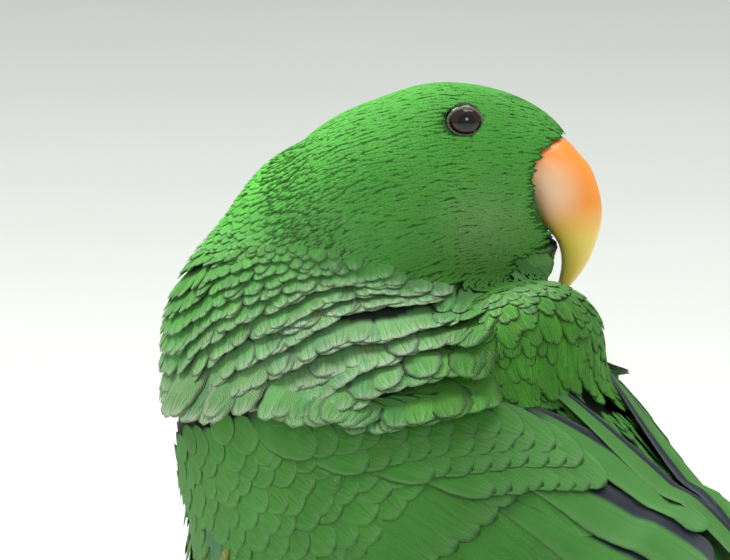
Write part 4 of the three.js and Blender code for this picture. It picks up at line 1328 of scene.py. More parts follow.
def add_wing(side):
    """The wing's plate and its tiers, from the flight feathers up to the scapulars."""
    plate = add_closed_grid(
        f"wing_base_{WINGS[side]}", wing_base(side), "flight_feathers", (f"wing_{WINGS[side]}",)
    )
    set_colours(plate.data, "plumage", np.tile(BASE_COLOUR, (len(plate.data.vertices), 1)))
    primaries = fan(10, (62, 106, WING_TIP, 40), (80, 50, 122, 25), 1.5)
    secondaries = fan(10, (34, 110, 116, 66), (34, 44, 112, 27))
    greater = fan(11, (6, 126, 44, 122), (8, 50, 54, 44))
    median = fan(11, (-12, 130, 20, 128), (-8, 60, 32, 52))
    primary = fan(6, (42, 119, 84, 106), (42, 104, 74, 92))
    alula = fan(3, (14, 127, 50, 123), (16, 121, 46, 117))
    for name, template, (roots, tips, share), widths, heights, thick, tilt, fringe in (
        ("primaries", LONG_VANE, primaries, (12, 16), (1.3, 1.2), 0.5, 0.2, 0.02),
        ("secondaries", LONG_VANE, secondaries, (14, 17), (1.5, 1.8), 0.4, 0.2, 0.1),
        ("greater_coverts", COVERT_VANE, greater, (14, 16), (1.8, 2.3), 0.3, 0.15, 0.1),
        ("median_coverts", COVERT_VANE, median, (13, 15), (1.9, 2.6), 0.3, 0.15, 0.1),
        ("primary_coverts", COVERT_VANE, primary, (9, 11), (1.5, 2.0), 0.3, 0.12, 0.1),
        ("alula", COVERT_VANE, alula, (8, 9), (2.2, 2.8), 0.3, 0.12, 0.1),
    ):
        ends = (roots, tips, widths[0] + (widths[1] - widths[0]) * share)
        add_tier(name, side, template, ends, heights, (0.12, -1.0, tilt), thick, (0.06, fringe, 0.1))
    table = np.array(TERTIALS, float)
    ends = (table[:, :2], table[:, 2:4], table[:, 4])
    add_tier("tertials", side, LONG_VANE, ends, (2.0, 3.0), (0.15, -2.5, 0.5), 0.4, (0.04, 0.5, 0.02))
    ends = covert_rows(-61, -12, 12, COVERT_TABLE, 1)
    bends, looks = (0.12, 0, 0.1), (0.05, 0.1, 0.12)
    add_tier("lesser_coverts", side, COVERT_VANE, ends, (1.5, 2.5), bends, 0.25, looks)
    fans = [fan(count, low, high, wander=0.4) for low, high, _, count in SCAPULAR_ROWS]
    roots, tips = (np.concatenate([laid[k] for laid in fans]) for k in (0, 1))
    width = np.concatenate([np.full(count, wide) for _, _, wide, count in SCAPULAR_ROWS])
    bends, looks = (0.1, 0, 0.12), (0.04, 0.1, 0.1)
    add_tier("scapulars", side, COVERT_VANE, (roots, tips, width), (1.7, 3.2), bends, 0.3, looks)
    return plate


wing_plates = [add_wing(side) for side in WINGS]

# %% [markdown]
# The tail has twelve long feathers, the middle pair on top and each outer pair lower and a little
# shorter, with short coverts over and under their roots. All hang free of the perch and the base.

# %% Tail
TAIL_START = 100
TAIL_LENGTH = 116


def straight_rails(roots, tips, width, steps, camber, sag=0.0):
    """Rails of feathers that run straight in the torso's own axes, with edges lower than shafts."""
    share = np.linspace(0, 1, steps)[None, :, None]
    shaft = roots[:, None] + (tips - roots)[:, None] * share
    shaft[..., 2] += sag * 4 * share[..., 0] * (1 - share[..., 0])
    rails = np.repeat(shaft[:, :, None], 3, axis=2)
    rails[:, :, 0, 1] -= width[:, None] / 2
    rails[:, :, 2, 1] += width[:, None] / 2
    rails[:, :, (0, 2), 2] -= camber
    normals = np.broadcast_to(TORSO_AXES[2], rails.shape[:2] + (3,))
    return rails @ TORSO_AXES, normals


TAIL_GREEN = np.array([0.045, 0.235, 0.055])


def add_tail():
    """Rectrices outermost first, so that the middle pair lies on top, and the coverts."""
    roots, tips = [], []
    for i in range(5, -1, -1):
        for side in (1, -1):
            roots.append([TAIL_START, side * (1.5 + 1.6 * i), 5 - i])
            drop = 2 - 1.1 * i - (0.55 if side < 0 else 0)
            tips.append([TAIL_START + TAIL_LENGTH - 1.6 * i, side * (4 + 3.7 * i), drop])
    roots, tips = np.array(roots, float), np.array(tips, float)
    width = np.full(12, 17.0)
    rails, normals = straight_rails(roots, tips, width, LONG_STEPS, 0.9)
    unwrap = np.stack([np.linspace(0.05, 0.95, 12), np.full(12, 0.5)], axis=1)
    colours = varied(np.tile(TAIL_GREEN, (12, 1)), 0.05)
    looks = (colours, 0.1, 0.02)
    add_feathers("tail_feathers", LONG_VANE, rails, normals, 0.6, looks, unwrap, "flight_feathers", ("tail",))
    roots, tips, widths, heights = [], [], [], []
    for row, (start, length) in enumerate(((84, 30), (92, 32), (100, 34), (110, 40))):
        for y in np.linspace(-14 + row, 14 - row, 6 - row % 2):
            z = 14.5 - 0.028 * y * y - 0.22 * (start - 84)
            roots.append([start, 0.8 * y, z])
            tips.append([start + length - 0.3 * abs(y), y, z - 4.5])
            widths.append(13.0)
        for y in np.linspace(-13 + row, 13 - row, 5 + row % 2):
            z = -8.5 + 0.03 * y * y + 0.12 * (start - 84)
            roots.append([start, 0.8 * y, z])
            tips.append([start + length + 6 - 0.3 * abs(y), y, z - 0.5])
            widths.append(13.0)
    roots, tips, widths = np.array(roots), np.array(tips), np.array(widths)
    above = roots[:, 2] > 0
    rails, normals = straight_rails(roots, tips, widths, STEPS, np.where(above, 0.8, -0.8)[:, None, None])
    normals = normals * np.where(above, 1, -1)[:, None, None]
    flipped = rails[~above]
    rails[~above] = flipped[:, :, ::-1]
    unwrap = np.stack([(roots[:, 1] + 20) / 40, (roots[:, 0] - 80) / 40 * 0.4 + np.where(above, 0.5, 0)], axis=1)
    looks = (varied(np.tile(BODY_GREEN, (len(roots), 1)), 0.06), 0.1, 0.15)
    add_feathers("tail_coverts", COVERT_VANE, rails, normals, 0.5, looks, unwrap, "plumage")


add_tail()

# %% [markdown]
# The upper mandible is a curved horn. Two curves in the head's own plane give its ridge and its
# cutting edge, and each section between them is an oval, narrower towards the tip. The dark lower
# mandible closes behind it.

# %% Bill
CULMEN = [
    (24, 15), (32.7, 14.6), (37.9, 9.7), (41.1, 5.4), (43.5, -2.6), (43.4, -9.6), (40.8, -17.6),
    (36.9, -24), (32.8, -28.4),
]
CUTTING_EDGE = [
    (14, 3), (19, 1.5), (23.8, -1.5), (27, -7.7), (31.4, -13.2), (32.7, -17.4), (32.7, -21.4),
    (32, -25.4), (32.2, -28.6),
]
BILL_WIDTH = 21
WIDTH_SHARES = [0.86, 1, 1, 0.95, 0.8, 0.63, 0.45, 0.28, 0.07]
LOWER_KEEL = [(12, -25.5), (21, -24.8), (27.5, -22), (31.8, -15.6)]
LOWER_RIM = [(12, -4), (20, -5), (26.5, -10), (31.4, -14)]
LOWER_WIDTH_SHARES = [0.8, 0.86, 0.74, 0.4]


def bill_grid(outer, inner, shares, rows, round_count, flat):
    """Rings between two curves in the head's plane.

    A ring's points go from the middle of the two curves by half their gap times the cosine, and
    sideways by half the width times the sine raised to a power that flattens the flanks.
    """
    v = np.concatenate([[0], np.linspace(0, 1, rows), [1]])
    top, bottom = curve_through(outer, v), curve_through(inner, v)
    middle, along = (top + bottom) / 2, (top - bottom) / 2
    u = np.linspace(0, 2 * np.pi, round_count, endpoint=False)
    cosine, sine = np.cos(u)[None], np.sin(u)[None]
    wide = BILL_WIDTH / 2 * np.interp(v, np.linspace(0, 1, len(shares)), shares)[:, None]
    power = np.where(cosine < 0, flat[0], flat[1])
    aside = wide * np.sign(sine) * np.abs(sine) ** power
    forward = middle[:, :1] + along[:, :1] * cosine
    up = middle[:, 1:] + along[:, 1:] * cosine
    return np.stack([forward, aside, up], axis=-1) @ HEAD_AXES + HEAD_CENTRE


bill_upper = add_closed_grid(
    "upper_mandible", bill_grid(CULMEN, CUTTING_EDGE, WIDTH_SHARES, 90, 64, (0.7, 0.9)), "bill_upper", ("bill_upper",)
)
bill_lower = add_closed_grid(
    "lower_mandible", bill_grid(LOWER_KEEL, LOWER_RIM, LOWER_WIDTH_SHARES, 40, 40, (1, 1)), "bill_lower", ("bill_lower",)
)

# %% [markdown]
# Each eye is a ball set just under the feathers, with a ring of bare, slightly puckered skin round
# it. The ball's pole looks out along the eye's own axis, so that the pupil and iris can be drawn
# as rings round that pole.

# %% Eyes and lids
EYE_RADIUS = 5.2
EYE_SUNK = 3.5
LID_HALVES = (4.6, 3.72)
LID_THICKNESS = 0.42


def eye_axes(side):
    """The eye's middle, and its ways out, forwards and up."""
    start = in_head(EYE_PLACE[0] - 1.2, 0, EYE_PLACE[1] - 1.2)
    out = np.array([0.12, side, 0.1]) @ HEAD_AXES
    out /= np.linalg.norm(out)
    reach = first_exit(start[None], out[None], head_lumps)[0]
    up = np.array([0, 0, 1.0]) - out[2] * out
    up /= np.linalg.norm(up)
    return start + (reach - EYE_SUNK) * out, out, np.cross(up, out) * side, up


def eye_grid(side):
    """Rings of a ball whose first point looks out of the head."""
    middle, out, forward, up = eye_axes(side)
    polar = np.linspace(0, np.pi, 40)[:, None, None]
    around = np.linspace(0, 2 * np.pi, 48, endpoint=False)[None, :, None]
    ring = np.cos(around) * forward + np.sin(around) * up
    return middle + EYE_RADIUS * (np.cos(polar) * out + np.sin(polar) * ring)


def lid_grid(side):
    """A ring of skin: a round section carried along an oval that hugs the ball, with fine puckers."""
    middle, out, forward, up = eye_axes(side)
    around = np.linspace(0, 2 * np.pi, 96, endpoint=False)
    section = np.linspace(0, 2 * np.pi, 12, endpoint=False)
    pucker = 1 + 0.1 * np.sin(26 * around) + 0.06 * np.sin(11 * around + 1)
    outward = np.cos(around)[:, None] * forward + np.sin(around)[:, None] * up
    oval = LID_HALVES[0] * np.cos(around)[:, None] * forward + LID_HALVES[1] * np.sin(around)[:, None] * up
    reach = np.linalg.norm(oval, axis=1)
    rise = np.sqrt(np.maximum(EYE_RADIUS**2 - reach**2, 0))[:, None] * out
    thick = (LID_THICKNESS * pucker)[:, None, None]
    ring = np.cos(section)[None, :, None] * outward[:, None] + 0.75 * np.sin(section)[None, :, None] * out
    return (middle + oval + rise + 0.15 * out)[:, None] + thick * ring


def add_ring(name, grid, slot):
    """A closed ring from a grid that runs round both ways."""
    rows, columns = grid.shape[:2]
    i, j = np.meshgrid(np.arange(rows), np.arange(columns), indexing="ij")
    after_i, after_j = (i + 1) % rows, (j + 1) % columns
    quads = np.stack(
        [i * columns + j, after_i * columns + j, after_i * columns + after_j, i * columns + after_j], axis=-1
    ).reshape(-1, 4)
    points = grid.reshape(-1, 3)
    if enclosed_volume(points - points.mean(axis=0), quads, np.empty((0, 3), int)) < 0:
        quads = quads[:, ::-1]
    return add_piece(name, points, quads, (), slot)


eyes, lids = [], []
for side, name in ((-1, "right"), (1, "left")):
    eye = add_closed_grid(f"eyeball_{name}", eye_grid(side), "eye", (f"eye_{name}",))
    middle, out, forward, up = eye_axes(side)
    co = np.empty(len(eye.data.vertices) * 3, np.float32)
    eye.data.vertices.foreach_get("co", co)
    offset = co.reshape(-1, 3) * 1000.0 - MIDDLE - middle
    set_values(eye.data, "from_pupil", np.linalg.norm(offset - (offset @ out)[:, None] * out, axis=1) / EYE_RADIUS)
    eyes.append(eye)
    lids.append(add_ring(f"eyelid_{name}", lid_grid(side), "foot_skin"))

# %% [markdown]
# A parrot's foot has two toes in front of the branch and two behind. A toe is a tube along a path
# that wraps the branch, its radius swelling at every pad, with rings of small scutes along its
# top. The claws are slim curved cones.

# %% Feet and claws
TOE_RADIUS = 3.6
FOOT_SPREAD = 19
PERCH_MIDDLE = np.array([6, 0, -BODY_OVER_PERCH - PERCH_RADIUS])
TOES = {
    "inner_front": (-1, -5, 118),
    "outer_front": (-1, 7, 132),
    "inner_back": (1, -6, 88),
    "outer_back": (1, 8, 120),
}
KNUCKLES = [0.8, 1.1, 0.92, 1.12, 0.9, 1.08, 0.86, 1, 0.62, 0.3]


def over_perch(side, toe, angle, height):
    """Places on a toe's path: turned down from the branch's top by an angle, at a height over it."""
    towards, splay, sweep = TOES[toe]
    radius = PERCH_RADIUS + np.asarray(height, float)
    turn = np.radians(np.asarray(angle, float))
    y = side * (FOOT_SPREAD + splay * np.minimum(1, 0.25 + np.asarray(angle) / sweep))
    return np.stack([towards * radius * np.sin(turn), y, radius * np.cos(turn)], axis=-1) + PERCH_MIDDLE


def toe_grid(side, toe):
    """A tube whose radius swells at each pad, with scutes as low rings."""
    sweep = TOES[toe][2]
    angle = np.array([-8, 16, 40, 64, 88, 110]) * sweep / 110
    line = curve_through(over_perch(side, toe, angle, TOE_RADIUS * 1.12 + 0.5), np.linspace(0, 1, 90))
    share = np.linspace(0, 1, 90)
    radii = TOE_RADIUS * curve_through(np.array(KNUCKLES)[:, None], share)[:, 0]
    radii *= np.sqrt(np.clip(share / 0.06, 0, 1)) * np.sqrt(np.clip((1 - share) / 0.05, 0, 1))
    scutes = lambda s, a: 1 + 0.035 * np.abs(np.sin(17 * np.pi * s)) + 0.02 * np.cos(7 * a + 40 * s)
    return tube(line, radii, 28, scutes)


def claw_grid(side, toe):
    """A horn that follows the branch's curve: its radius falls from the toe to a blunt point."""
    start = TOES[toe][2] - 4
    angle = start + np.array([0, 14, 28, 42])
    height = TOE_RADIUS + 1 + np.array([0.5, 1.2, 1, 0.4])
    line = curve_through(over_perch(side, toe, angle, height), np.linspace(0, 1, 40))
    share = np.linspace(0, 1, 40)
    radii = np.interp(share, [0, 0.25, 0.5, 0.75, 0.97, 1], [1.9, 2, 1.6, 1.1, 0.45, 0.05])
    return tube(line, radii, 18)


HEEL = np.array([9, 0, 17])


def tarsus_grid(side):
    """The bare lower leg, from between the toes to the heel inside the feathers."""
    foot = np.array([PERCH_MIDDLE[0], side * FOOT_SPREAD, -BODY_OVER_PERCH])
    path = [foot + (0, 0, 2.4), foot + (3, 0, 8), foot + HEEL, foot + HEEL + (-2, 0, 8)]
    line = curve_through(path, np.linspace(0, 1, 50))
    share = np.linspace(0, 1, 50)
    radii = curve_through(np.array([[2.4], [4.8], [4.2], [3.8], [3.9], [4.2], [3.8], [2.4]]), share)[:, 0]
    scutes = lambda s, a: 1 + 0.03 * np.abs(np.sin(11 * np.pi * s)) + 0.02 * np.cos(6 * a + 30 * s)
    return tube(line, radii, 30, scutes)


foot_pieces, claw_pieces = [], []
for side, foot in ((-1, "left"), (1, "right")):
    foot_pieces.append(add_closed_grid(f"tarsus_{foot}", tarsus_grid(side), "foot_skin", (f"foot_{foot}",)))
    for toe in TOES:
        foot_pieces.append(add_closed_grid(f"toe_{foot}_{toe}", toe_grid(side, toe), "foot_skin"))
        claw_pieces.append(
            add_closed_grid(f"horn_{foot}_{toe}", claw_grid(side, toe), "claw", (f"claw_{foot}_{toe}",))
        )

# %% [markdown]
# The perch is a cut branch with rough bark, a knot or two, a stub of a side twig and pale sawn
# ends. It stands on a turned base with one rod. The bark's ridges are in the mesh, and the finer
# grain is in the material.

# %% Perch and stand
PERCH_LENGTH = 165
BASE_RADIUS = 72
BASE_THICKNESS = 12
ROD_RADIUS = 5


def waves(a, b, seed, count=5, low=2, high=9):
    """A smooth uneven pattern that closes round: a few sine waves in the angle and along."""
    draw = np.random.default_rng(seed)
    total = 0
    for _ in range(count):
        turns, ripple, phase = draw.integers(low, high), draw.uniform(0.02, 0.09), draw.uniform(0, 6.3)
        total = total + np.sin(turns * a + ripple * b + phase)
    return total / count


def perch_grid():
    """Rings along Y. The radius is a little uneven, with bark ridges and a knot near one end."""
    half = PERCH_LENGTH / 2
    y = np.concatenate([[-half, -half, -half + 0.6], np.linspace(-half + 1.5, half - 1.5, 150), [half - 0.6, half, half]])
    a = np.linspace(0, 2 * np.pi, 96, endpoint=False)
    rows, angle = y[:, None], a[None]
    knot = np.where(np.abs(rows) > 45, 1.2 * np.exp(-(((np.abs(rows + 62)) / 9) ** 2)), 0)
    uneven = 1 - 0.03 * np.sin(rows / 17 + 1.3 * np.sin(angle)) ** 2
    ridges = 0.22 * waves(angle, rows, 3, 7, 7, 22) - 0.12
    radius = PERCH_RADIUS * uneven - 0.15 + knot + ridges
    radius[[0, -1]] = 0.01
    radius[1] *= 0.94
    radius[-2] *= 0.94
    shape = np.stack([radius * np.sin(angle), rows * np.ones_like(angle), radius * np.cos(angle)], axis=-1)
    return shape + PERCH_MIDDLE


def lathe_grid(profile, round_count):
    """Rings from a profile of radius and height turned about the upright axis."""
    profile = np.array(profile, float)
    angle = np.linspace(0, 2 * np.pi, round_count, endpoint=False)
    x = profile[:, :1] * np.cos(angle)[None]
    y = profile[:, :1] * np.sin(angle)[None]
    return np.stack([x, y, profile[:, 1:] * np.ones_like(x)], axis=-1) - MIDDLE


perch = add_closed_grid("perch_branch", perch_grid(), "bark", ("perch",))
twig_line = curve_through(np.array([(0, -60, 0), (-9, -63, 4), (-17, -66, 9), (-19.4, -67.3, 10.7)]) + PERCH_MIDDLE, np.linspace(0, 1, 30))
twig_radii = np.interp(np.linspace(0, 1, 30), [0, 0.3, 0.96, 0.985, 1], [4.9, 4.6, 4.5, 4.2, 0.05])
twig = add_closed_grid("perch_twig", tube(twig_line, twig_radii, 32, lambda s, a: 1 + 0.03 * waves(a, 30 * s, 5)), "bark")

base_profile = [(0, 0), (0.01, 0), (BASE_RADIUS - 1, 0), (BASE_RADIUS, 1), (BASE_RADIUS, 6)]
bevel = np.linspace(0, np.pi / 2, 8)
base_profile += [(BASE_RADIUS - 4 + 4 * np.cos(b), BASE_THICKNESS - 4 + 4 * np.sin(b)) for b in bevel]
base_profile += [(40, BASE_THICKNESS), (0.01, BASE_THICKNESS), (0, BASE_THICKNESS)]
stand_base = add_closed_grid("turned_base", lathe_grid(base_profile, 128), "stand_base", ("stand_base",))
rod_top = PERCH_TOP - 2 * PERCH_RADIUS + 6.5
rod_profile = [(0, BASE_THICKNESS), (0.01, BASE_THICKNESS), (8.5, BASE_THICKNESS), (8.5, BASE_THICKNESS + 1.6)]
rod_profile += [(7.8, BASE_THICKNESS + 2.4), (ROD_RADIUS, BASE_THICKNESS + 2.6), (ROD_RADIUS, rod_top), (0.01, rod_top), (0, rod_top)]
rod_shift = np.array([PERCH_MIDDLE[0], 0, 0])
stand_rod = add_closed_grid("steel_rod", lathe_grid(rod_profile, 64) + rod_shift, "stand_rod", ("stand_rod",))


def add_floor():
    """A wide flat disc just under the base."""
    angle = np.linspace(0, 2 * np.pi, 96, endpoint=False)
    rim = np.stack([14000 * np.cos(angle), 14000 * np.sin(angle), np.full(96, -0.2)], axis=1) - MIDDLE
    points = np.vstack([rim, [[0, 0, -0.2 - MIDDLE[2]]]])
    triangles = [(i, (i + 1) % 96, 96) for i in range(96)]
    floor = add_piece("floor", points, np.empty((0, 4), int), triangles)
    return floor


floor = add_floor()

# %% [markdown]
# Materials are built from nodes in code. Small helpers keep that readable: one adds a node with its
# settings, and one wires a value or another node's output into a socket.

# %% Node helpers


def add_node(tree, kind, **settings):
    """A node of a kind. Keyword names are its sockets or properties, and values or outputs feed them."""
    node = tree.nodes.new(kind)
    for key, value in settings.items():
        feed(tree, node, key, value)
    return node


def feed(tree, node, key, value):
    """Puts a value or an output into a socket, found by name or number, or sets a property."""
    if isinstance(key, str) and hasattr(node, key) and key not in node.inputs:
        setattr(node, key, value)
        return
    socket = node.inputs[int(key[1:])] if isinstance(key, str) and key[0] == "_" else node.inputs[key]
    if isinstance(value, bpy.types.NodeSocket):
        tree.links.new(value, socket)
    else:
        socket.default_value = value


def maths(tree, operation, first, second=None, third=None):
    """The output of one Math node."""
    node = add_node(tree, "ShaderNodeMath", operation=operation)
    for i, value in enumerate((first, second, third)):
        if value is not None:
            feed(tree, node, f"_{i}", value)
    return node.outputs[0]


def smooth_range(tree, value, low, high):
    """0 below low, 1 above high, and a smooth rise between."""
    node = add_node(tree, "ShaderNodeMapRange", interpolation_type="SMOOTHSTEP")
    feed(tree, node, "_0", value)
    feed(tree, node, "_1", low)
    feed(tree, node, "_2", high)
    return node.outputs[0]


def mixed(tree, share, first, second, way="MIX"):
    """Two colours mixed by a share."""
    node = add_node(tree, "ShaderNodeMix", data_type="RGBA", blend_type=way)
    feed(tree, node, "_0", share)
    feed(tree, node, "_6", first)
    feed(tree, node, "_7", second)
    return node.outputs[2]


def noise(tree, vector, scale, detail=3.0, roughness=0.55):
    """The grey output of a Noise Texture."""
    node = add_node(tree, "ShaderNodeTexNoise", Scale=scale, Detail=detail, Roughness=roughness)
    tree.links.new(vector, node.inputs["Vector"])
    return node.outputs["Fac"]


def new_group(name, inputs, outputs):
    """An empty shader node group with named sockets, and its inner ends."""
    group = bpy.data.node_groups.new(name, "ShaderNodeTree")
    for label, kind, value in inputs:
        socket = group.interface.new_socket(label, in_out="INPUT", socket_type=kind)
        socket.default_value = value
    for label, kind in outputs:
        group.interface.new_socket(label, in_out="OUTPUT", socket_type=kind)
    return group, group.nodes.new("NodeGroupInput").outputs, group.nodes.new("NodeGroupOutput").inputs


def new_material(name):
    """A material with its tree and its Principled shader."""
    made = bpy.data.materials.new(name)
    made.use_nodes = True
    return made, made.node_tree, made.node_tree.nodes["Principled BSDF"]


def paint(pieces, made):
    """Gives a material to pieces."""
    for piece in pieces:
        piece.data.materials.clear()
        piece.data.materials.append(made)


COLOUR, VALUE = "NodeSocketColor", "NodeSocketFloat"

# %% [markdown]
# Every feather shares one effect: a dark downy root, barbs as fine slanting lines that run from
# the shaft to the edge, a thin shaft and a paler, frayed rim. It is a node group, so that body,
# wing and tail feathers can each use it with their own colours.

# %% Feather effect


def build_barbs():
    """Barb lines are a sine of (along - slant times distance from the shaft) times a count."""
    group, into, out = new_group(
        "barbs",
        [
            ("Colour", COLOUR, (0.05, 0.3, 0.05, 1)),
            ("Root Colour", COLOUR, (0.02, 0.018, 0.02, 1)),
            ("Rim Colour", COLOUR, (0.3, 0.5, 0.28, 1)),
            ("Rim", VALUE, 0.3),
            ("Root Share", VALUE, 0.4),
            ("Barb Count", VALUE, 26.0),
            ("Barb Depth", VALUE, 0.3),
            ("Streaks", VALUE, 2.0),
        ],
        [("Colour", COLOUR), ("Rim", VALUE), ("Height", VALUE)],
    )
    uv = add_node(group, "ShaderNodeUVMap", uv_map="vane").outputs["UV"]
    parts = add_node(group, "ShaderNodeSeparateXYZ", Vector=uv).outputs
    where = add_node(group, "ShaderNodeTexCoord").outputs["Object"]
    from_shaft = maths(group, "ABSOLUTE", maths(group, "MULTIPLY_ADD", parts["X"], 2.0, -1.0))
    uneven = noise(group, where, 420, 2)
    slant = maths(group, "MULTIPLY_ADD", from_shaft, -0.26, parts["Y"])
    wobble = maths(group, "MULTIPLY_ADD", uneven, 0.05, slant)
    wave = maths(group, "SINE", maths(group, "MULTIPLY", maths(group, "MULTIPLY", wobble, into["Barb Count"]), 6.283))
    stripe = maths(group, "MULTIPLY_ADD", wave, 0.5, 0.5)
    fine = noise(group, where, 1500, 2)
    stripe = maths(group, "MULTIPLY", stripe, maths(group, "MULTIPLY_ADD", fine, 1.0, 0.3))
    shade = maths(group, "MULTIPLY_ADD", maths(group, "SUBTRACT", stripe, 0.4), into["Barb Depth"], 1.0)
    cloud = maths(group, "MULTIPLY_ADD", noise(group, where, 70, 3), 0.34, 0.83)
    lit = add_node(group, "ShaderNodeVectorMath", operation="SCALE")
    feed(group, lit, "_0", into["Colour"])
    feed(group, lit, "Scale", maths(group, "MULTIPLY", shade, cloud))
    rooted = smooth_range(group, parts["Y"], into["Root Share"], maths(group, "ADD", into["Root Share"], 0.14))
    streak_at = add_node(group, "ShaderNodeCombineXYZ")
    feed(group, streak_at, "_0", maths(group, "MULTIPLY", parts["X"], 15.0))
    feed(group, streak_at, "_1", maths(group, "MULTIPLY", parts["Y"], 2.4))
    feed(group, streak_at, "_2", maths(group, "MULTIPLY", add_node(group, "ShaderNodeSeparateXYZ", Vector=where).outputs["Z"], 70.0))
    streaks = maths(group, "SUBTRACT", noise(group, streak_at.outputs[0], 1.0, 2), 0.5)
    loose = maths(group, "MULTIPLY", smooth_range(group, parts["Y"], 0.5, 0.95), into["Streaks"])
    tone = maths(group, "MULTIPLY_ADD", streaks, loose, 1.0)
    streaked = add_node(group, "ShaderNodeVectorMath", operation="SCALE")
    feed(group, streaked, "_0", lit.outputs[0])
    feed(group, streaked, "Scale", maths(group, "MAXIMUM", tone, 0.1))
    colour = mixed(group, rooted, into["Root Colour"], streaked.outputs[0])
    tip = smooth_range(group, parts["Y"], 0.78, 1.0)
    side = smooth_range(group, from_shaft, 0.55, 1.0)
    rim = maths(group, "MAXIMUM", tip, side)
    rim = maths(group, "MULTIPLY", rim, maths(group, "MULTIPLY_ADD", streaks, into["Streaks"], 0.75))
    rim = maths(group, "MAXIMUM", rim, 0.0)
    rim = maths(group, "MULTIPLY", rim, maths(group, "MULTIPLY", rooted, into["Rim"]))
    colour = mixed(group, maths(group, "MINIMUM", rim, 1.0), colour, into["Rim Colour"])
    shaft = maths(group, "SUBTRACT", 1.0, smooth_range(group, from_shaft, 0.02, 0.09))
    colour = mixed(group, maths(group, "MULTIPLY", shaft, 0.12), colour, (0.02, 0.06, 0.02, 1))
    group.links.new(colour, out["Colour"])
    group.links.new(rim, out["Rim"])
    group.links.new(maths(group, "MULTIPLY_ADD", shaft, 0.6, stripe), out["Height"])
    return group


barbs = build_barbs()


def feather_material(name, rim, root, barb_count, depth, softness, sheen, roughness, streaks):
    """Feathers: markings under the barbs, a soft sheen, and a share of the body's own shading.

    The nearer softness is to 1, the more a feather is lit as the body under it is, and not as a
    scale with edges of its own, because down scatters the light.
    """
    made, tree, shader = new_material(name)
    marks = add_node(tree, "ShaderNodeAttribute", attribute_name="plumage")
    base = add_node(tree, "ShaderNodeAttribute", attribute_name="dark_base")
    body = add_node(tree, "ShaderNodeAttribute", attribute_name="body_normal")
    own = add_node(tree, "ShaderNodeNewGeometry").outputs["Normal"]
    lit = add_node(tree, "ShaderNodeMix", data_type="VECTOR")
    feed(tree, lit, "_0", softness)
    feed(tree, lit, "_4", own)
    feed(tree, lit, "_5", body.outputs["Vector"])
    even = add_node(tree, "ShaderNodeVectorMath", operation="NORMALIZE")
    feed(tree, even, "_0", lit.outputs[1])
    effect = add_node(tree, "ShaderNodeGroup", node_tree=barbs)
    feed(tree, effect, "Colour", marks.outputs["Color"])
    feed(tree, effect, "Rim", marks.outputs["Alpha"])
    feed(tree, effect, "Rim Colour", rim)
    feed(tree, effect, "Root Colour", root)
    feed(tree, effect, "Root Share", base.outputs["Fac"])
    feed(tree, effect, "Barb Count", barb_count)
    feed(tree, effect, "Barb Depth", depth)
    feed(tree, effect, "Streaks", streaks)
    tree.links.new(effect.outputs["Colour"], shader.inputs["Base Color"])
    bump = add_node(tree, "ShaderNodeBump", Strength=0.25, Distance=0.0003)
    tree.links.new(effect.outputs["Height"], bump.inputs["Height"])
    tree.links.new(even.outputs["Vector"], bump.inputs["Normal"])
    tree.links.new(bump.outputs["Normal"], shader.inputs["Normal"])
    rough = maths(tree, "MULTIPLY_ADD", effect.outputs["Rim"], 0.2, roughness)
    tree.links.new(rough, shader.inputs["Roughness"])
    shader.inputs["Sheen Weight"].default_value = sheen
    shader.inputs["Sheen Roughness"].default_value = 0.4
    shader.inputs["Sheen Tint"].default_value = (0.75, 1, 0.7, 1)
    shader.inputs["Specular IOR Level"].default_value = 0.18
    return made, tree, shader, effect


DOWN_GREY = (0.026, 0.036, 0.027, 1)
RIM_PALE = (0.40, 0.47, 0.36, 1)
face_plumage = feather_material("face_plumage", RIM_PALE, (0.04, 0.20, 0.025, 1), 5, 0.12, 0.96, 0.06, 0.72, 0.5)[0]
soft_plumage = feather_material("soft_plumage", RIM_PALE, DOWN_GREY, 24, 0.35, 0.75, 0.05, 0.68, 2.0)[0]
silky_plumage = feather_material("silky_plumage", RIM_PALE, (0.04, 0.14, 0.02, 1), 18, 0.2, 0.96, 0.03, 0.68, 2.2)[0]
wing_plumage = feather_material("wing_plumage", RIM_PALE, DOWN_GREY, 36, 0.16, 0.88, 0.03, 0.62, 0.9)[0]

# %% [markdown]
# The long feathers have two vanes of different colours. The outer vane is green and shows when the
# wing is folded, and the inner vane is blue-black. The tail is green above, blue towards its tip,
# with a narrow pale yellow end, and all of them are dark beneath.

# %% Flight and tail feathers


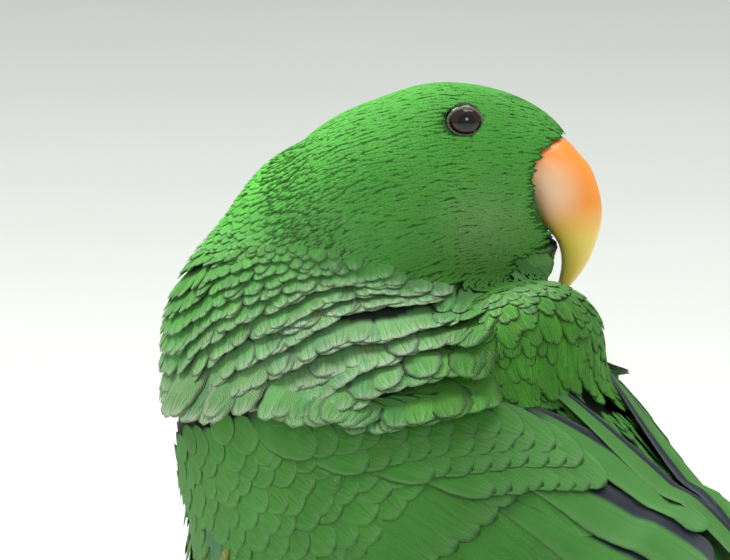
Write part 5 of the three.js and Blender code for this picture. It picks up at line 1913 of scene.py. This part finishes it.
def long_feather_material(name, dark_side, tip_colour, tip_from):
    """Green on one side of the shaft, blue-black on the other and beneath, with its own tip."""
    made, tree, shader, effect = feather_material(
        name, RIM_PALE, (0.02, 0.05, 0.025, 1), 90, 0.2, 0.5, 0, 0.5, 0.5
    )
    uv = add_node(tree, "ShaderNodeUVMap", uv_map="vane").outputs["UV"]
    parts = add_node(tree, "ShaderNodeSeparateXYZ", Vector=uv).outputs
    under = add_node(tree, "ShaderNodeAttribute", attribute_name="under").outputs["Fac"]
    marks = add_node(tree, "ShaderNodeAttribute", attribute_name="plumage").outputs["Color"]
    tip = smooth_range(tree, parts["Y"], tip_from[0], tip_from[1])
    green = mixed(tree, tip, marks, tip_colour)
    inner = smooth_range(tree, parts["X"], dark_side[0], dark_side[1])
    two = mixed(tree, inner, green, (0.006, 0.010, 0.022, 1))
    below = smooth_range(tree, under, 0.45, 0.8)
    two = mixed(tree, below, two, (0.012, 0.013, 0.016, 1))
    if name == "tail_plumage":
        end = smooth_range(tree, parts["Y"], 0.955, 0.985)
        two = mixed(tree, end, two, (0.55, 0.52, 0.12, 1))
    feed(tree, effect, "Colour", two)
    effect.inputs["Rim"].default_value = 0.0
    for link in list(effect.inputs["Rim"].links):
        tree.links.remove(link)
    effect.inputs["Rim"].default_value = 0.12
    return made


flight_plumage = long_feather_material("flight_plumage", (0.5, 0.62), (0.010, 0.035, 0.10, 1), (0.55, 0.95))
tertial_plumage = long_feather_material("tertial_plumage", (0.6, 0.72), (0.045, 0.20, 0.03, 1), (0.8, 1.0))
tail_plumage = long_feather_material("tail_plumage", (2.0, 3.0), (0.012, 0.085, 0.20, 1), (0.45, 0.9))

objects = bpy.data.objects
paint([objects[f"{n}_feathers"] for n in ("bill_edge", "face", "crown")], face_plumage)
paint([objects["mantle_feathers"]], silky_plumage)
paint([o for o in objects if o.name.startswith(("nape_f", "throat_f", "ruff_f", "breast_and", "leg_f", "tail_c"))], soft_plumage)
for wing in ("left", "right"):
    paint([objects[f"{n}_{wing}"] for n in ("primaries", "secondaries")], flight_plumage)
    paint([objects[f"tertials_{wing}"]], tertial_plumage)
    names = ("greater_coverts", "median_coverts", "primary_coverts", "alula", "lesser_coverts", "scapulars")
    paint([objects[f"{n}_{wing}"] for n in names], wing_plumage)
paint([objects["tail_feathers"]], tail_plumage)


def ground_material():
    """The skin and the wings' bases: the markings, darkened to downy grey and mottled."""
    made, tree, shader = new_material("downy_ground")
    read = add_node(tree, "ShaderNodeAttribute", attribute_name="plumage")
    marks, down = read.outputs["Color"], read.outputs["Alpha"]
    where = add_node(tree, "ShaderNodeTexCoord").outputs["Object"]
    patchy = smooth_range(tree, noise(tree, where, 260, 4), 0.35, 0.7)
    dark = maths(tree, "MULTIPLY_ADD", patchy, 0.2, 0.7)
    colour = mixed(tree, maths(tree, "MULTIPLY_ADD", down, dark, 0.12), marks, DOWN_GREY)
    tree.links.new(colour, shader.inputs["Base Color"])
    bump = add_node(tree, "ShaderNodeBump", Strength=0.5, Distance=0.0006)
    tree.links.new(noise(tree, where, 900, 3), bump.inputs["Height"])
    tree.links.new(bump.outputs["Normal"], shader.inputs["Normal"])
    shader.inputs["Roughness"].default_value = 0.9
    return made


paint([skin, *wing_plates], ground_material())

# %% [markdown]
# The upper mandible is orange at its root and yellow at its tip, with a painted pinkish highlight
# low on its side, fine growth lines across it and a satin shine. Object coordinates and the bill's
# own height give the change of colour.

# %% Bill materials


def upper_bill_material():
    """Colour by height down the bill, a painted highlight on each side as a ball-shaped mask, and growth lines."""
    made, tree, shader = new_material("orange_horn")
    where = add_node(tree, "ShaderNodeTexCoord").outputs["Object"]
    parts = add_node(tree, "ShaderNodeSeparateXYZ", Vector=where).outputs
    root_height, tip_height = metres(in_head(0, 0, 15))[2], metres(in_head(0, 0, -29))[2]
    down = smooth_range(tree, parts["Z"], float(tip_height), float(root_height))
    ramp = add_node(tree, "ShaderNodeValToRGB")
    tree.links.new(down, ramp.inputs["Fac"])
    stops = [
        (0.0, (0.80, 0.60, 0.11)),
        (0.30, (0.90, 0.70, 0.12)),
        (0.48, (0.93, 0.50, 0.11)),
        (0.66, (0.96, 0.32, 0.04)),
        (1.0, (0.94, 0.28, 0.03)),
    ]
    ramp.color_ramp.elements[0].position = stops[0][0]
    ramp.color_ramp.elements[0].color = (*stops[0][1], 1)
    ramp.color_ramp.elements[1].position = stops[-1][0]
    ramp.color_ramp.elements[1].color = (*stops[-1][1], 1)
    for position, colour in stops[1:-1]:
        ramp.color_ramp.elements.new(position).color = (*colour, 1)
    colour = ramp.outputs["Color"]
    # A pale pink painted highlight on each side of the bill, where the light catches it.
    for side in (-1, 1):
        centre = metres(in_head(28.5, 8.5 * side, 1))
        away = add_node(tree, "ShaderNodeVectorMath", operation="DISTANCE")
        feed(tree, away, "_0", where)
        away.inputs[1].default_value = centre
        painted_highlight = maths(tree, "SUBTRACT", 1.0, smooth_range(tree, away.outputs["Value"], 0.002, 0.0125))
        colour = mixed(tree, maths(tree, "MULTIPLY", painted_highlight, 0.8), colour, (1.0, 0.72, 0.50, 1))
    lines = add_node(tree, "ShaderNodeTexNoise", Scale=95, Detail=4, Roughness=0.6)
    stretch = add_node(tree, "ShaderNodeMapping", Vector=where)
    stretch.inputs["Scale"].default_value = (1, 1, 4)
    tree.links.new(stretch.outputs["Vector"], lines.inputs["Vector"])
    colour = mixed(tree, maths(tree, "MULTIPLY", lines.outputs["Fac"], 0.16), colour, (0.75, 0.28, 0.05, 1))
    tree.links.new(colour, shader.inputs["Base Color"])
    bump = add_node(tree, "ShaderNodeBump", Strength=0.25, Distance=0.0006)
    tree.links.new(lines.outputs["Fac"], bump.inputs["Height"])
    tree.links.new(bump.outputs["Normal"], shader.inputs["Normal"])
    tree.links.new(maths(tree, "MULTIPLY_ADD", lines.outputs["Fac"], 0.2, 0.28), shader.inputs["Roughness"])
    shader.inputs["Subsurface Weight"].default_value = 0.12
    shader.inputs["Subsurface Radius"].default_value = (0.004, 0.002, 0.001)
    return made


def horn_material(name, colour, streak, roughness):
    """Dark horn with faint paler streaks."""
    made, tree, shader = new_material(name)
    where = add_node(tree, "ShaderNodeTexCoord").outputs["Object"]
    grain = noise(tree, where, 220, 5)
    share = smooth_range(tree, grain, 0.45, 0.75)
    tree.links.new(mixed(tree, share, colour, streak), shader.inputs["Base Color"])
    tree.links.new(maths(tree, "MULTIPLY_ADD", grain, 0.25, roughness), shader.inputs["Roughness"])
    bump = add_node(tree, "ShaderNodeBump", Strength=0.2, Distance=0.0005)
    tree.links.new(grain, bump.inputs["Height"])
    tree.links.new(bump.outputs["Normal"], shader.inputs["Normal"])
    return made


paint([bill_upper], upper_bill_material())
paint([bill_lower], horn_material("black_horn", (0.012, 0.011, 0.012, 1), (0.06, 0.058, 0.06, 1), 0.3))
paint(claw_pieces, horn_material("claw_horn", (0.02, 0.018, 0.018, 1), (0.07, 0.065, 0.06, 1), 0.32))

# %% [markdown]
# The eye has a black pupil, a dark red-brown iris that darkens a little towards its rim, and a wet
# coat. The lids are bare green-grey skin.

# %% Eye and lid materials


def eye_material():
    """Rings of colour by the distance from the eye's own axis, under a clear wet coat."""
    made, tree, shader = new_material("wet_eye")
    ring = add_node(tree, "ShaderNodeAttribute", attribute_name="from_pupil").outputs["Fac"]
    where = add_node(tree, "ShaderNodeTexCoord").outputs["Object"]
    fibres = noise(tree, where, 1800, 3)
    iris = mixed(tree, fibres, (0.010, 0.003, 0.002, 1), (0.035, 0.012, 0.008, 1))
    iris = mixed(tree, smooth_range(tree, ring, 0.62, 0.8), iris, (0.012, 0.006, 0.005, 1))
    colour = mixed(tree, smooth_range(tree, ring, 0.40, 0.47), (0.002, 0.002, 0.003, 1), iris)
    tree.links.new(colour, shader.inputs["Base Color"])
    shader.inputs["Roughness"].default_value = 0.18
    shader.inputs["Specular IOR Level"].default_value = 0.15
    shader.inputs["Coat Weight"].default_value = 0.7
    shader.inputs["Coat Roughness"].default_value = 0.04
    return made


def scaled_skin_material(name, dark, pale, scale):
    """Bare skin in small scales: cell pattern for the scales, their borders darker and lower."""
    made, tree, shader = new_material(name)
    where = add_node(tree, "ShaderNodeTexCoord").outputs["Object"]
    cells = add_node(tree, "ShaderNodeTexVoronoi", Scale=scale, feature="DISTANCE_TO_EDGE")
    tree.links.new(where, cells.inputs["Vector"])
    scale_share = smooth_range(tree, cells.outputs["Distance"], 0.02, 0.16)
    tone = noise(tree, where, 160, 3)
    colour = mixed(tree, maths(tree, "MULTIPLY", scale_share, maths(tree, "ADD", tone, 0.3)), dark, pale)
    tree.links.new(colour, shader.inputs["Base Color"])
    bump = add_node(tree, "ShaderNodeBump", Strength=0.6, Distance=0.0004)
    tree.links.new(scale_share, bump.inputs["Height"])
    tree.links.new(bump.outputs["Normal"], shader.inputs["Normal"])
    tree.links.new(maths(tree, "MULTIPLY_ADD", tone, 0.3, 0.45), shader.inputs["Roughness"])
    return made


paint(eyes, eye_material())
paint(lids, scaled_skin_material("lid_skin", (0.06, 0.065, 0.045, 1), (0.22, 0.25, 0.17, 1), 2200))
paint(foot_pieces, scaled_skin_material("foot_scales", (0.035, 0.035, 0.038, 1), (0.17, 0.17, 0.18, 1), 720))

# %% [markdown]
# Bark, turned wood and steel finish the stand. Long grain comes from stretching the coordinates
# along the wood before they reach a noise.

# %% Stand materials


def bark_material():
    """Two noises, one of them stretched along the branch, and pale sawn wood at the two ends."""
    made, tree, shader = new_material("rough_bark")
    where = add_node(tree, "ShaderNodeTexCoord").outputs["Object"]
    stretch = add_node(tree, "ShaderNodeMapping", Vector=where)
    stretch.inputs["Scale"].default_value = (1, 0.25, 1)
    long_grain = noise(tree, stretch.outputs["Vector"], 210, 6, 0.65)
    patches = noise(tree, where, 45, 4)
    colour = mixed(tree, smooth_range(tree, long_grain, 0.38, 0.62), (0.045, 0.030, 0.020, 1), (0.23, 0.16, 0.105, 1))
    colour = mixed(tree, smooth_range(tree, patches, 0.52, 0.72), colour, (0.30, 0.29, 0.22, 1))
    y = add_node(tree, "ShaderNodeSeparateXYZ", Vector=where).outputs["Y"]
    end = maths(tree, "ABSOLUTE", y)
    cut = smooth_range(tree, end, PERCH_LENGTH / 2000 - 0.0009, PERCH_LENGTH / 2000 - 0.0004)
    colour = mixed(tree, cut, colour, (0.52, 0.37, 0.22, 1))
    tree.links.new(colour, shader.inputs["Base Color"])
    bump = add_node(tree, "ShaderNodeBump", Strength=0.8, Distance=0.0012)
    tree.links.new(long_grain, bump.inputs["Height"])
    tree.links.new(bump.outputs["Normal"], shader.inputs["Normal"])
    shader.inputs["Roughness"].default_value = 0.85
    return made


def turned_wood_material():
    """Dark satin wood with straight grain."""
    made, tree, shader = new_material("dark_turned_wood")
    where = add_node(tree, "ShaderNodeTexCoord").outputs["Object"]
    stretch = add_node(tree, "ShaderNodeMapping", Vector=where)
    stretch.inputs["Scale"].default_value = (0.08, 1, 1)
    grain = noise(tree, stretch.outputs["Vector"], 260, 6, 0.6)
    broad = noise(tree, stretch.outputs["Vector"], 40, 3)
    share = maths(tree, "MULTIPLY", smooth_range(tree, grain, 0.35, 0.65), broad)
    tree.links.new(mixed(tree, share, (0.030, 0.015, 0.009, 1), (0.13, 0.065, 0.034, 1)), shader.inputs["Base Color"])
    tree.links.new(maths(tree, "MULTIPLY_ADD", grain, 0.15, 0.3), shader.inputs["Roughness"])
    shader.inputs["Coat Weight"].default_value = 0.25
    return made


def steel_material():
    """Brushed steel: fine rings across the rod in its roughness."""
    made, tree, shader = new_material("brushed_rod")
    where = add_node(tree, "ShaderNodeTexCoord").outputs["Object"]
    stretch = add_node(tree, "ShaderNodeMapping", Vector=where)
    stretch.inputs["Scale"].default_value = (0.05, 0.05, 1)
    lines = noise(tree, stretch.outputs["Vector"], 2400, 2)
    tree.links.new(maths(tree, "MULTIPLY_ADD", lines, 0.25, 0.2), shader.inputs["Roughness"])
    tree.links.new(mixed(tree, lines, (0.42, 0.42, 0.43, 1), (0.6, 0.6, 0.61, 1)), shader.inputs["Base Color"])
    shader.inputs["Metallic"].default_value = 1
    return made


def floor_material():
    """A pale matt floor with the faintest unevenness."""
    made, tree, shader = new_material("pale_floor")
    where = add_node(tree, "ShaderNodeTexCoord").outputs["Object"]
    tone = noise(tree, where, 6, 3)
    tree.links.new(mixed(tree, tone, (0.66, 0.68, 0.66, 1), (0.70, 0.72, 0.70, 1)), shader.inputs["Base Color"])
    shader.inputs["Roughness"].default_value = 0.8
    return made


paint([perch, twig], bark_material())
paint([stand_base], turned_wood_material())
paint([stand_rod], steel_material())
paint([floor], floor_material())
